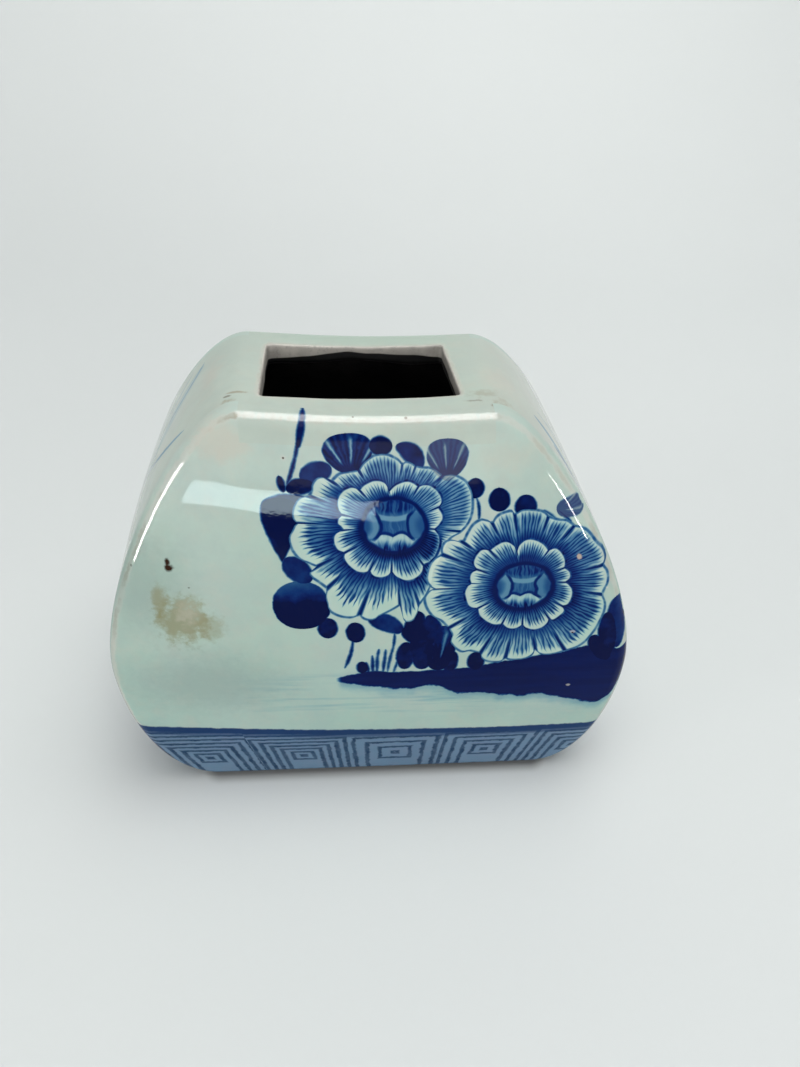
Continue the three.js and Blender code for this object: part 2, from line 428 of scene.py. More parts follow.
# nearest point of the outer skin: its distance and smooth direction
def skinAt(point):
    hit, _, index, distance = skinTree.find_nearest(point)
    corners = skin.faces[index].verts
    a, b, c = [v.co for v in corners]
    whole = (b - a).cross(c - a).length
    pairs = ((b, c), (c, a), (a, b))
    weights = [(start - hit).cross(end - hit).length for start, end in pairs]
    direction = sum((v.normal * (w / whole) for v, w in zip(corners, weights)), Vector())
    return distance, direction.normalized()


# lines where the glaze runs thin: along the rounded rims and round the mouth's lip
def thinLines():
    points = []
    inset, depth = rimProfile()[fine["rimSteps"] // 2]
    for side in (-1, 1):
        for t in outlineRows:
            x, z = outlinePoint(t, inset)
            points += [Vector((s * x, side * (halfDepth(z) - depth), z)) for s in (-1, 1)]
        z = pot["height"] - inset
        for s in columns:
            points.append(Vector((s * pot["topWidth"] / 2, side * (halfDepth(z) - depth), z)))
    for s in [k / 40 for k in range(-40, 41)]:
        for edge in ((s, -1), (s, 1), (-1, s), (1, s)):
            p = mouthPoint(*edge, mouth["lip"] / 2)
            points.append(Vector((p.x, p.y, pot["height"])))
    tree = kdtree.KDTree(len(points))
    for i, p in enumerate(points):
        tree.insert(p, i)
    tree.balance()
    return tree


thinTree = thinLines()


# how near the outer skin, in millimetres, a face is painted and a corner takes the skin's direction
skinGap = {"painted": 0.045, "lent": 0.02}


# gives a plain mesh its painting coordinates, hand-made shape, surface directions and materials
def finishPiece(mesh, outside, inside, mouthWall=None):
    plain = [v.co.copy() for v in mesh.vertices]
    place = np.array(plain)
    run = np.zeros_like(place)
    run[:, 0] = np.interp(place[:, 2], levels, faceRun)
    run[:, 1] = np.interp(place[:, 2], outlineXz[:, 1], outlineRun)
    run[:, 2] = [thinTree.find(p)[2] for p in plain]
    onTop = place[:, 2] > pot["height"] - 0.01
    run[onTop, 0] += np.clip(pot["topDepth"] / 2 - pot["rimRadius"] - np.abs(place[onTop, 1]), 0, None)
    for name, values in (("place", place), ("run", run)):
        layer = mesh.attributes.new(name, "FLOAT_VECTOR", "POINT")
        layer.data.foreach_set("vector", values.ravel())
    for v in mesh.vertices:
        v.co = byHand(v.co)
    mesh.update()
    near = [skinAt(v.co) for v in mesh.vertices]
    for material in (outside, inside, mouthWall):
        if material:
            mesh.materials.append(material)
    own = [v.normal.copy() for v in mesh.vertices]
    directions = [Vector()] * len(mesh.loops)
    wideX, wideY = mouth["wallReach"]
    for face in mesh.polygons:
        middle = sum((plain[i] for i in face.vertices), Vector()) / len(face.vertices)
        outer = all(near[i][0] < skinGap["painted"] * mm for i in face.vertices)
        inMouth = mouthWall and not outer and abs(middle.x) < wideX and abs(middle.y) < wideY
        face.use_smooth = True
        cut = inMouth and middle.z > pot["height"] - mouth["wallHeight"]
        face.material_index = 0 if outer else 2 if cut else 1
        for k in face.loop_indices:
            corner = mesh.loops[k].vertex_index
            gap, lent = near[corner]
            if outer or (inMouth and gap < skinGap["lent"] * mm and lent.dot(face.normal) > 0.5):
                directions[k] = lent
            else:
                directions[k] = own[corner] if inMouth else face.normal.copy()
    mesh.normals_split_custom_set(directions)
    return mesh


def addPiece(name, mesh, node):
    piece = bpy.data.objects.new(name, mesh)
    bpy.context.collection.objects.link(piece)
    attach(piece, "root")
    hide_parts(node)


# an output of a shader node that can be written in a sum like a number: each operation adds a math node
class Value:
    def __init__(self, socket):
        self.socket = socket
        self.tree = socket.id_data

    def __add__(self, other):
        return calc("ADD", self, other)

    def __sub__(self, other):
        return calc("SUBTRACT", self, other)

    def __rsub__(self, other):
        return calc("SUBTRACT", other, self)

    def __mul__(self, other):
        return calc("MULTIPLY", self, other)

    def __rmul__(self, other):
        return calc("MULTIPLY", other, self)

    def __truediv__(self, other):
        return calc("DIVIDE", self, other)

    def __pow__(self, other):
        return calc("POWER", self, other)

    def __abs__(self):
        return calc("ABSOLUTE", self)

    def scaled(self, factor, offset):
        return calc("MULTIPLY_ADD", self, factor, offset)


def treeOf(values):
    return next(value.tree for value in values if isinstance(value, Value))


def feed(socket, value):
    if isinstance(value, Value):
        value.tree.links.new(value.socket, socket)
    else:
        socket.default_value = value


# a new node, set up and with its inputs fed by label or index
def addNode(tree, kind, given, **settings):
    node = tree.nodes.new(kind)
    for name, setting in settings.items():
        setattr(node, name, setting)
    for key, value in given.items():
        feed(node.inputs[key], value)
    return node


def calc(operation, *values):
    node = addNode(treeOf(values), "ShaderNodeMath", dict(enumerate(values)), operation=operation)
    return Value(node.outputs[0])


def highest(first, second):
    return calc("MAXIMUM", first, second)


def lowest(first, second):
    return calc("MINIMUM", first, second)


def lengthOf(x, y):
    return calc("SQRT", x.scaled(x, y * y))


def vectorCalc(operation, *values):
    node = addNode(treeOf(values), "ShaderNodeVectorMath", dict(enumerate(values)), operation=operation)
    return Value(node.outputs["Value" if operation == "DOT_PRODUCT" else "Vector"])


# soft step: from one value to another while the first input passes from low to high
def ease(value, low, high, start=0.0, end=1.0):
    given = {"Value": value, "From Min": low, "From Max": high, "To Min": start, "To Max": end}
    node = addNode(value.tree, "ShaderNodeMapRange", given, interpolation_type="SMOOTHSTEP")
    return Value(node.outputs[0])


def grain(place, scale, detail=2.0, roughness=0.5):
    given = {"Vector": place, "Scale": scale, "Detail": detail, "Roughness": roughness}
    return Value(addNode(place.tree, "ShaderNodeTexNoise", given).outputs[0])


def joinXyz(*values):
    return Value(addNode(treeOf(values), "ShaderNodeCombineXYZ", dict(enumerate(values))).outputs[0])


def splitXyz(value):
    return [Value(socket) for socket in addNode(value.tree, "ShaderNodeSeparateXYZ", {0: value}).outputs]


def mixValue(amount, first, second):
    return Value(addNode(amount.tree, "ShaderNodeMix", {0: amount, 2: first, 3: second}).outputs[0])


def blend(amount, first, second, kind="MIX"):
    given = {0: amount, 6: first, 7: second}
    tree = treeOf(given.values())
    return Value(addNode(tree, "ShaderNodeMix", given, data_type="RGBA", blend_type=kind).outputs[2])


def tinted(colour, tint):
    return blend(1.0, colour, tint, "MULTIPLY")


def newGroup(name, inputs, outputs):
    tree = bpy.data.node_groups.new(name, "ShaderNodeTree")
    kinds = {0: "NodeSocketFloat", 3: "NodeSocketVector", 4: "NodeSocketColor"}
    for label, start in inputs.items():
        kind = kinds[len(start) if isinstance(start, tuple) else 0]
        tree.interface.new_socket(label, in_out="INPUT", socket_type=kind).default_value = start
    for label, size in outputs.items():
        tree.interface.new_socket(label, in_out="OUTPUT", socket_type=kinds[size])
    sources = tree.nodes.new("NodeGroupInput").outputs
    given = {label: Value(sources[label]) for label in inputs}
    return tree, given, tree.nodes.new("NodeGroupOutput").inputs


def useGroup(group, **values):
    node = addNode(treeOf(values.values()), "ShaderNodeGroup", values, node_tree=group)
    return {socket.name: Value(socket) for socket in node.outputs}


# a curve through (input, output, sharp) points
def drawnCurve(value, points):
    node = value.tree.nodes.new("ShaderNodeFloatCurve")
    curve = node.mapping.curves[0]
    points = sorted(points)
    while len(curve.points) < len(points):
        curve.points.new(0.5, 0.5)
    for point, (x, y, sharp) in zip(curve.points, points):
        point.location = (x, y)
        point.handle_type = "VECTOR" if sharp else "AUTO_CLAMPED"
    node.mapping.update()
    feed(node.inputs["Value"], value)
    return Value(node.outputs[0])


origin = (0.0, 0.0, 0.0)
strokeInputs = {
    "Ink": 0.0,
    "Place": origin,
    "From": origin,
    "Along": (1.0, 0.0, 0.0),
    "Across": (0.0, 1.0, 0.0),
    "Long": 5.0,
    "Full": 0.5,
    "Skew": 1.0,
    "Grain": 0.5,
}


# where a place lies on a stroke: along from 0 to 1, across, past its ends, and how wide it swells there
def strokeShape(given):
    away = vectorCalc("SUBTRACT", given["Place"], given["From"])
    along = vectorCalc("DOT_PRODUCT", away, given["Along"])
    across = vectorCalc("DOT_PRODUCT", away, given["Across"])
    held = lowest(highest(along, 0.0), 1.0)
    past = abs(along - held) * given["Long"]
    skewed = held ** given["Skew"]
    return along, across, past, skewed * (1.0 - skewed) * 4.0


# one stroke or dab of the brush: it swells between its ends, bends sideways and has a soft, ragged edge
def buildBrushMark():
    inputs = {**strokeInputs, "Half": 1.0, "Bend": 0.0, "Tone": 0.9}
    tree, given, done = newGroup("brushMark", inputs, {"Ink": 0})
    _, across, past, swell = strokeShape(given)
    across = across - given["Bend"] * swell
    width = given["Half"] * swell ** given["Full"]
    depth = (given["Grain"] - 0.5).scaled(0.5, width - abs(across) - past)
    tone = given["Tone"] * given["Grain"].scaled(0.24, 0.93)
    feed(done["Ink"], highest(given["Ink"], ease(depth, -0.26, 0.42) * tone))
    return tree


# a leaf put down in one wide press of the brush, with scraped pale veins that fan out from its foot
def buildVeinedLeaf():
    inputs = {**strokeInputs, "Half": 3.0, "Foot": 1.0, "Tip": 0.7, "Veins": 8.0, "Phase": 0.0, "Scrape": 0.7}
    tree, given, done = newGroup("veinedLeaf", inputs, {"Ink": 0, "Mask": 0})
    along, across, past, swell = strokeShape(given)
    width = given["Half"] * swell ** given["Full"]
    depth = (given["Grain"] - 0.5).scaled(0.6, width - abs(across) - past)
    mask = ease(depth, -0.22, 0.3)
    turn = calc("ARCTAN2", across, along.scaled(given["Long"], 0.6))
    phase = given["Grain"].scaled(0.5, given["Phase"])
    turn = turn.scaled(given["Veins"], phase)
    vein = abs(calc("COSINE", turn)) ** 20.0
    shown = ease(along, 0.22, 0.4) * ease(along, 0.8, 0.97, 1.0, 0.0)
    vein = vein * shown * given["Scrape"]
    hatch = calc("COSINE", given["Grain"].scaled(3.0, turn * 7.0))
    hatch = hatch * given["Scrape"] * ease(along, 0.1, 0.5)
    tone = hatch.scaled(0.11, ease(along, 0.15, 1.0, given["Foot"], given["Tip"]))
    tone = tone * given["Grain"].scaled(0.3, 0.85)
    feed(done["Ink"], highest(given["Ink"], tone * mask * (1.0 - vein)))
    feed(done["Mask"], mask)
    return tree


# one ring of petals: dark and hatched at the foot, pale at the scalloped tips and beside the dark creases
def buildPetalRing():
    inputs = {"Ink": 0.0, "Turn": 0.0, "Reach": 0.0, "Edge": 10.0, "Start": 5.0, "Crease": 0.0, "Tip": 1.0,
              "Lines": 100.0, "Deep": 0.92, "Mid": 0.45, "Outline": 0.5, "Seed": 0.0}
    tree, given, done = newGroup("petalRing", inputs, {"Ink": 0, "Inside": 0})
    reach, crease = given["Reach"], given["Crease"]
    depth = given["Edge"] - reach
    out = (reach - given["Start"]) / highest(given["Edge"] - given["Start"], 1.0)
    count = given["Turn"] * given["Lines"]
    wander = grain(joinXyz(count, reach * 0.35, given["Seed"]), 0.9, 1.0)
    line = calc("SINE", wander.scaled(1.3, count) * math.tau).scaled(0.5, 0.5) ** 1.6
    length = grain(joinXyz(count, 0.0, given["Seed"] + 5.0), 0.75, 2.0)
    stop = (length.scaled(0.9, 0.76) - line * 0.5) * given["Tip"]
    body = ease(depth - stop, -0.5, 1.4)
    wash = ease(out, -0.02, 0.42, given["Deep"], given["Mid"])
    streak = (line - 0.36) * ease(out, 0.0, 0.4, 0.12, 0.42)
    flank = ease(crease, 0.15, 0.5) * ease(crease, 0.64, 0.84, 1.0, 0.0) * ease(out, 0.15, 0.7, 0.0, 0.6)
    tint = body.scaled(wash + streak, 0.035) * (1.0 - flank)
    tint = highest(tint, ease(crease, 0.7, 0.95) * ease(out, 0.05, 0.6, 0.42, 0.92))
    rim = ease(abs(depth), 0.08, 0.5, 1.0, 0.0) * given["Outline"] * wander.scaled(1.2, 0.35)
    inside = ease(depth, -0.14, 0.14)
    kept = given["Ink"] * (1.0 - inside)
    feed(done["Ink"], highest(tint.scaled(inside, kept), rim))
    feed(done["Inside"], inside)
    return tree


# the heart of a peony: dark oval, a hatched bowl above, a scalloped bowl below and an arc on either side
def buildPeonyHeart():
    inputs = {"Ink": 0.0, "Place": origin, "Centre": origin, "Wide": 6.0, "High": 5.6, "Left": 0.2,
              "Right": 0.4, "Seed": 0.0}
    tree, given, done = newGroup("peonyHeart", inputs, {"Ink": 0})
    x, y, _ = splitXyz(vectorCalc("SUBTRACT", given["Place"], given["Centre"]))
    x, y = x / given["Wide"], y / given["High"]
    shake = grain(joinXyz(x, y, given["Seed"]), 2.2, 1.0)
    x = (shake - 0.5).scaled(0.22, x)
    xSquare = x * x
    reach = lengthOf(y, x)
    hatch = ease(grain(joinXyz(x * 9.0, y * 1.2, given["Seed"]), 1.4, 1.0), 0.35, 0.65)
    bowl = y - xSquare.scaled(0.45, 0.24)
    tint = mixValue(ease(bowl, 0.12, 0.3), hatch.scaled(0.12, 0.5), hatch.scaled(0.3, 0.6))
    tint = mixValue(ease(abs(bowl), 0.05, 0.14, 1.0, 0.0), tint, 0.3)
    waves = abs(calc("SINE", (x + 0.08) * 5.2))
    below = waves.scaled(0.13, xSquare.scaled(-0.28, -0.4)) - y
    tint = mixValue(ease(abs(below + 0.04), 0.02, 0.1, 1.0, 0.0), tint, 0.85)
    fade = hatch.scaled(0.5, 0.55) * ease(below, 0.12, 0.5, 0.17, 0.95)
    tint = mixValue(ease(below, -0.02, 0.04), tint, fade)
    for side, label in ((-1, "Left"), (1, "Right")):
        ring = lengthOf(x - side * 1.22, y)
        high = ease(abs(y), 0.4, 0.62, 1.0, 0.0) * ease(ring, 0.84, 0.9, 1.0, 0.0)
        arc = mixValue(ease(ring, 0.4, 0.66), 0.62, given[label])
        arc = mixValue(ease(ring, 0.74, 0.8), arc, 0.88)
        tint = mixValue(high, tint, arc)
    border = ease(abs(reach - 1.0), 0.06, 0.24, 1.0, 0.0)
    tint = highest(tint, border * 0.95)
    feed(done["Ink"], mixValue(ease(reach, 0.98, 1.1, 1.0, 0.0), given["Ink"], tint))
    return tree


# sizes of the fret band in millimetres: each frame has its own step between lines, as the free hand left them
fret = {
    "centre": 4.0,
    "pitch": 21.5,
    "middle": 9.4,
    "steps": [2.3, 2.1, 1.95, 2.95, 2.45, 2.2, 2.6],
    "squat": 0.73,
    "closed": 1.72,
    "line": 0.5,
    "barDepth": 2.1,
    "underDepth": 3.1,
}


# nested key frets under a thick line: how far the wash, the thin lines and the thick one cover;
# Up and Top count from the base edge
def buildKeyFret():
    inputs = {"Across": 0.0, "Up": 0.0, "Top": 20.0, "Grain": 0.5, "Fan": 0.008}
    tree, given, done = newGroup("keyFretBand", inputs, {"Wash": 0, "Lines": 0, "Bar": 0})
    up, across = given["Up"], given["Across"]
    shake = given["Grain"] - 0.5
    lean = (up - 10.0) * given["Fan"]
    along = (across * (1.0 - lean) - fret["centre"]) / fret["pitch"]
    unit = calc("FLOOR", along + 0.5)
    last = len(fret["steps"]) - 1
    points = [(k / last, value / 10, True) for k, value in enumerate(fret["steps"])]
    step = drawnCurve(unit.scaled(1 / last, 0.5), points) * 10.0
    aside = abs(along - unit) * fret["pitch"]
    above = (up - fret["middle"]) / (step * fret["squat"])
    below = lowest(above * -1.0, fret["closed"])
    nest = highest(aside / step, highest(above, below))
    nest = shake.scaled(0.5, nest)
    near = abs(calc("FRACT", nest + 0.3) - 0.5) * step
    lines = ease(near, fret["line"] - 0.22, fret["line"] + 0.24, 1.0, 0.0)
    lines = lines * shake.scaled(0.9, 0.88)
    # a dark line along the base edge: partly the band's lower border, partly painted shade where the pot
    # meets the floor
    lines = highest(lines, ease(shake.scaled(2.0, up), 1.6, 3.0, 0.85, 0.0))
    drop = shake.scaled(0.7, given["Top"] - up)
    bar = ease(drop, fret["barDepth"] - 0.5, fret["barDepth"] + 0.4, 1.0, 0.62)
    bar = bar * ease(drop, fret["underDepth"] - 0.4, fret["underDepth"] + 0.5, 1.0, 0.0)
    inside = ease(drop, -0.25, 0.3)
    feed(done["Wash"], inside)
    feed(done["Lines"], inside * lines)
    feed(done["Bar"], inside * bar)
    return tree


# the two peonies: centre and petal edges in millimetres across and up the face, each petal from a notch on;
# then, at some directions in degrees, the width of the pale tips and the tones of a petal's foot and middle
peonies = [
    {
        "centre": (4.0, 75.0),
        "heart": {"at": (4.1, 74.9), "wide": 6.3, "high": 5.9, "left": 0.36, "right": 0.48},
        "outer": [
            [(17.0, 73.4), (18.8, 76.0), (19.3, 79.0), (18.7, 82.5), (16.5, 84.6)],
            [(13.6, 84.9), (12.0, 86.2), (9.5, 86.7)],
            [(8.4, 87.0), (7.0, 87.8)],
            [(6.0, 87.2), (4.6, 88.6), (1.5, 89.3), (-0.5, 88.3)],
            [(-2.2, 86.2), (-4.0, 85.9), (-6.2, 85.2)],
            [(-7.3, 84.0), (-9.0, 84.8), (-10.8, 83.6), (-11.2, 81.8)],
            [(-11.7, 81.0), (-14.0, 80.0), (-15.0, 77.5)],
            [(-14.2, 75.4), (-15.2, 74.0), (-15.9, 71.5), (-14.9, 69.0), (-12.5, 67.3)],
            [(-10.8, 66.5), (-12.5, 64.7), (-10.6, 62.9)],
            [(-9.2, 61.6), (-9.4, 58.0), (-8.0, 55.4), (-5.6, 54.6)],
            [(-3.2, 55.3), (-1.5, 53.9), (0.5, 54.8), (3.0, 56.2)],
            [(5.0, 57.6), (5.4, 54.6), (6.5, 53.2), (8.0, 54.6)],
            [(8.6, 57.4), (10.0, 59.5), (11.0, 62.0)],
            [(11.5, 65.0), (13.0, 68.0), (14.3, 71.0)],
        ],
        "outerTips": [(-170, 2.6), (-150, 2.0), (-135, 2.8), (-118, 3.9), (-100, 3.7), (-84, 2.4), (-65, 0.5),
                      (-30, 0.6), (0, 0.4), (40, 0.35), (100, 0.5), (135, 0.6), (148, 2.0), (165, 1.2)],
        "outerDeep": [(-165, 0.8), (-130, 0.82), (-95, 0.74), (-60, 0.9), (-30, 0.9), (0, 0.6), (45, 0.58),
                      (90, 0.66), (140, 0.72)],
        "outerMid": [(-165, 0.57), (-130, 0.5), (-95, 0.34), (-60, 0.66), (-30, 0.6), (0, 0.44), (45, 0.45),
                     (90, 0.48), (140, 0.44)],
        "inner": [
            [(12.0, 74.0), (13.3, 75.4), (13.7, 76.8)],
            [(12.8, 78.6), (13.5, 80.0), (12.8, 81.8), (11.3, 83.1)],
            [(9.0, 83.0), (7.6, 84.0), (5.4, 83.8)],
            [(3.3, 82.1), (2.4, 84.0), (0.2, 84.3), (-1.2, 83.6)],
            [(-2.3, 82.4), (-4.2, 82.9), (-6.1, 81.4), (-6.6, 79.0)],
            [(-5.8, 77.3), (-6.8, 75.8)],
            [(-5.6, 74.1), (-7.6, 72.6), (-7.4, 70.6)],
            [(-5.6, 69.3), (-5.7, 67.7), (-4.0, 65.5), (-1.9, 64.9)],
            [(-0.9, 65.4), (0.3, 63.8), (2.3, 63.9)],
            [(3.4, 65.2), (4.8, 63.5), (7.3, 63.0), (9.1, 64.2)],
            [(9.7, 66.4), (11.2, 67.2), (12.6, 69.4), (13.0, 72.0)],
        ],
        "innerTips": [(-165, 1.6), (-135, 1.6), (-105, 1.2), (-78, 1.4), (-48, 0.25), (-20, 0.1), (9, 1.2),
                      (35, 0.3), (70, 1.0), (108, 1.2), (140, 1.3), (175, 1.2)],
        "innerDeep": [(-165, 0.92), (-120, 0.96), (-80, 0.98), (-35, 1.0), (-10, 0.9), (10, 0.52), (50, 0.55),
                      (80, 0.8), (130, 0.66), (165, 0.66)],
        "innerMid": [(-165, 0.6), (-120, 0.5), (-80, 0.5), (-35, 0.88), (-10, 0.6), (10, 0.38), (50, 0.46),
                     (80, 0.5), (130, 0.45), (165, 0.5)],
    },
    {
        "centre": (29.8, 61.5),
        "heart": {"at": (29.9, 60.9), "wide": 6.2, "high": 5.5, "left": 0.34, "right": 0.42},
        "outer": [
            [(46.2, 65.2), (47.6, 62.0), (46.9, 59.5)],
            [(46.6, 58.4), (47.6, 55.0), (46.8, 51.5), (45.6, 48.6), (43.4, 45.6), (41.6, 44.6)],
            [(40.2, 44.2), (37.5, 43.3), (35.2, 43.4)],
            [(33.6, 45.2), (32.6, 42.9), (30.4, 42.1), (28.4, 42.2)],
            [(27.3, 42.9), (25.6, 41.6), (23.4, 42.0)],
            [(21.8, 44.4), (19.6, 45.2), (17.3, 45.2), (15.4, 47.4), (15.6, 49.6)],
            [(14.8, 51.4), (13.6, 53.0), (11.2, 54.9), (9.9, 58.0), (10.4, 60.0)],
            [(12.2, 61.2), (10.3, 64.0), (11.0, 66.6)],
            [(13.4, 68.6), (13.6, 70.9), (15.9, 72.3), (17.4, 71.2)],
            [(18.6, 70.2), (18.3, 73.0), (20.0, 75.3), (22.2, 75.5)],
            [(23.2, 74.9), (24.9, 76.9), (26.6, 77.4)],
            [(27.6, 76.6), (29.8, 77.6), (33.0, 77.2)],
            [(34.3, 76.0), (36.3, 75.4), (38.6, 74.9)],
            [(39.6, 74.0), (42.2, 73.0), (44.3, 70.4), (46.6, 67.4)],
        ],
        "outerTips": [(-160, 2.1), (-130, 2.0), (-105, 1.6), (-85, 1.5), (-65, 1.4), (-45, 1.9), (-20, 1.1),
                      (0, 1.4), (20, 0.8), (60, 0.5), (90, 0.5), (112, 0.8), (130, 1.5), (150, 1.9),
                      (172, 1.7)],
        "outerDeep": [(-165, 0.7), (-120, 0.85), (-95, 0.66), (-60, 0.66), (-20, 0.9), (10, 0.84), (45, 0.8),
                      (90, 0.8), (140, 0.7)],
        "outerMid": [(-165, 0.46), (-120, 0.5), (-95, 0.38), (-60, 0.42), (-20, 0.6), (10, 0.56), (45, 0.52),
                     (90, 0.5), (140, 0.46)],
        "inner": [
            [(19.0, 61.9), (17.7, 59.7), (18.3, 57.3)],
            [(20.5, 56.0), (21.4, 53.6), (23.8, 51.8)],
            [(25.9, 51.9), (27.9, 50.4), (29.6, 50.8)],
            [(30.3, 51.6), (31.4, 50.4), (34.1, 50.2), (35.6, 51.4)],
            [(35.9, 52.9), (37.1, 52.4), (38.9, 54.1)],
            [(38.4, 55.9), (40.0, 56.6), (40.5, 59.0), (39.7, 60.8)],
            [(38.6, 61.6), (39.7, 63.4)],
            [(38.3, 65.0), (38.3, 66.8), (36.9, 69.1)],
            [(34.7, 69.0), (33.4, 70.6), (31.0, 71.6), (29.0, 70.8)],
            [(28.2, 68.6), (27.4, 70.4), (24.6, 70.9)],
            [(22.6, 69.4), (20.4, 69.1), (19.4, 67.1)],
            [(20.2, 65.2), (18.7, 63.8)],
        ],
        "innerTips": [(-171, 1.8), (-136, 1.4), (-100, 1.2), (-72, 1.5), (-45, 1.6), (-13, 1.0), (12, 0.8),
                      (45, 0.8), (83, 1.1), (118, 1.0), (145, 1.1), (168, 1.4)],
        "innerDeep": [(-165, 0.9), (-120, 0.9), (-80, 0.86), (-30, 0.94), (0, 0.74), (45, 0.72), (90, 0.8),
                      (140, 0.72)],
        "innerMid": [(-165, 0.5), (-120, 0.52), (-80, 0.54), (-30, 0.6), (0, 0.56), (45, 0.52), (90, 0.5),
                     (140, 0.48)],
    },
]

# dabs and strokes of the front: from, to, half width, bend, fullness, skew, tone
frontMarks = [
    (-0.2, 90.9, 4.2, 90.9, 1.95, 0, 0.5, 1, 1.0),
    (-9.6, 54.5, -9.8, 49.3, 2.1, 0, 0.5, 1, 0.98),
    (-4.2, 53.3, -4.2, 48.1, 2.0, 0, 0.5, 1, 1.0),
    (19.7, 80.1, 19.9, 84.2, 1.85, 0, 0.5, 1, 0.97),
    (24.6, 77.3, 24.4, 82.1, 2.2, 0, 0.5, 1, 1.0),
    (29.8, 75.7, 29.8, 80.6, 2.3, 0, 0.5, 1, 0.95),
    (20.9, 39.4, 20.9, 44.7, 2.0, 0, 0.5, 1, 0.97),
    (-3.2, 39.4, -3.2, 42.9, 1.3, 0, 0.5, 1, 0.97),
    (-17.1, 84.8, -16.3, 81.6, 0.8, 0, 0.5, 1, 0.95),
    (-15.9, 82.2, -10.6, 83.4, 1.7, 0, 0.45, 1, 0.95),
    (-20.8, 78.6, -10.8, 79.2, 2.5, 0, 0.4, 1, 0.9),
    (-17.2, 80.6, -17.6, 67.2, 3.8, 0, 1.0, 0.48, 1.0),
    (-20.3, 76.6, -18.6, 70.4, 0.9, 0, 0.4, 0.7, 0.97),
    (-17.1, 68.2, -12.4, 63.0, 2.5, 0, 0.5, 1, 0.8),
    (-13.2, 84.4, -7.2, 86.7, 2.2, 0, 0.5, 1, 0.78),
    (5.0, 91.2, 9.6, 86.2, 1.9, 0.8, 0.5, 1, 0.88),
    (-11.9, 96.1, -13.2, 90.2, 0.75, 0, 0.35, 0.9, 0.97),
    (-13.0, 92.0, -15.8, 82.8, 0.42, 0.3, 0.35, 1, 0.85),
    (-4.8, 49.0, -6.9, 41.0, 0.42, 0.35, 0.4, 1, 0.92),
    (-1.6, 54.7, 5.4, 50.8, 2.2, 0.3, 0.5, 1, 0.85),
    (3.6, 51.5, 2.3, 43.2, 0.33, 0.5, 0.35, 1, 0.85),
    (-1.0, 39.6, -1.0, 44.6, 0.42, 0, 0.4, 1, 0.8),
    (-0.1, 39.4, 0.4, 46.3, 0.42, 0.2, 0.4, 1, 0.75),
    (1.1, 39.4, 1.8, 46.2, 0.42, 0, 0.4, 1, 0.8),
    (2.1, 39.4, 3.1, 45.2, 0.38, 0.2, 0.4, 1, 0.78),
    (3.3, 39.4, 4.5, 43.8, 0.36, 0, 0.4, 1, 0.8),
    (-1.9, 39.6, -2.4, 42.8, 0.4, 0, 0.4, 1, 0.8),
    (8.7, 55.8, 7.2, 48.4, 2.3, 0, 0.5, 1, 1.0),
    (5.2, 51.4, 10.6, 48.0, 2.2, 0, 0.5, 1, 0.95),
    (10.6, 54.8, 12.8, 47.0, 2.0, 0, 0.5, 1, 0.98),
    (6.1, 48.0, 5.6, 40.4, 2.0, 0, 0.45, 1, 0.95),
    (9.6, 49.0, 9.3, 40.2, 2.4, 0, 0.45, 1, 1.0),
    (15.4, 45.4, 15.2, 39.2, 1.9, 0, 0.45, 1, 0.97),
    (11.0, 52.0, 7.8, 44.0, 2.6, 0, 0.5, 1, 1.0),
    (50.0, 57.4, 51.6, 44.5, 2.3, 0, 0.5, 0.8, 0.8),
    (48.4, 54.0, 49.8, 42.0, 2.2, 0, 0.45, 1, 0.95),
    (45.6, 48.0, 50.0, 41.0, 2.2, 0, 0.45, 1, 0.97),
    (20.0, 80.4, 20.5, 75.8, 0.32, 0.3, 0.35, 1, 0.9),
    (36.0, 77.6, 39.0, 74.9, 0.35, 0, 0.35, 1, 0.85),
    (33.2, 77.4, 36.2, 75.2, 0.28, 0.2, 0.35, 1, 0.7),
]

# faint reeds on the side walls, in millimetres from front to back and up: same fields
sideMarks = {
    "left": [
        (13.5, 88.0, 4.0, 74.5, 0.55, -3.0, 0.35, 1, 0.26),
        (4.6, 76.5, -7.5, 69.8, 0.6, 1.0, 0.35, 1, 0.22),
        (12.5, 88.0, -4.0, 69.0, 2.8, -1.0, 0.5, 1, 0.07),
        (15.5, 84.5, 8.0, 66.0, 0.5, -2.0, 0.35, 1, 0.22),
        (-13.2, 86.6, -4.0, 71.0, 0.65, -0.8, 0.35, 1, 0.26),
        (-6.0, 74.0, -3.0, 58.0, 0.7, 1.5, 0.4, 1, 0.16),
    ],
    "right": [
        (-9.0, 88.0, -17.6, 77.5, 1.1, 0.6, 0.4, 1, 0.22),
        (-13.8, 84.0, -18.8, 74.5, 0.9, 0, 0.4, 1, 0.36),
        (-4.0, 86.0, -14.0, 66.0, 0.6, 2.0, 0.35, 1, 0.18),
    ],
}

# wide leaves with veins: from, to, half width, fullness, skew, foot tone, tip tone, veins, phase, scrape,
# and whether the leaf is violet
frontLeaves = [
    (-3.6, 85.2, -4.4, 93.2, 4.7, 0.42, 1.5, 1.0, 0.84, 5.6, 0.35, 0.75, 0),
    (14.4, 83.8, 14.6, 92.0, 4.0, 0.42, 1.5, 0.95, 0.72, 7.0, -0.75, 0.85, 1),
    (-14.2, 51.8, -14.9, 63.2, 5.7, 0.45, 1.0, 1.4, 0.6, 7.0, 0.0, 0.0, 0),
    (35.9, 77.4, 41.8, 78.4, 2.1, 0.45, 1.0, 0.6, 0.5, 6.0, 0.6, 0.8, 1),
    (12.6, 39.8, 14.0, 52.0, 3.1, 0.45, 0.9, 1.1, 0.9, 7.5, 0.2, 0.6, 0),
]

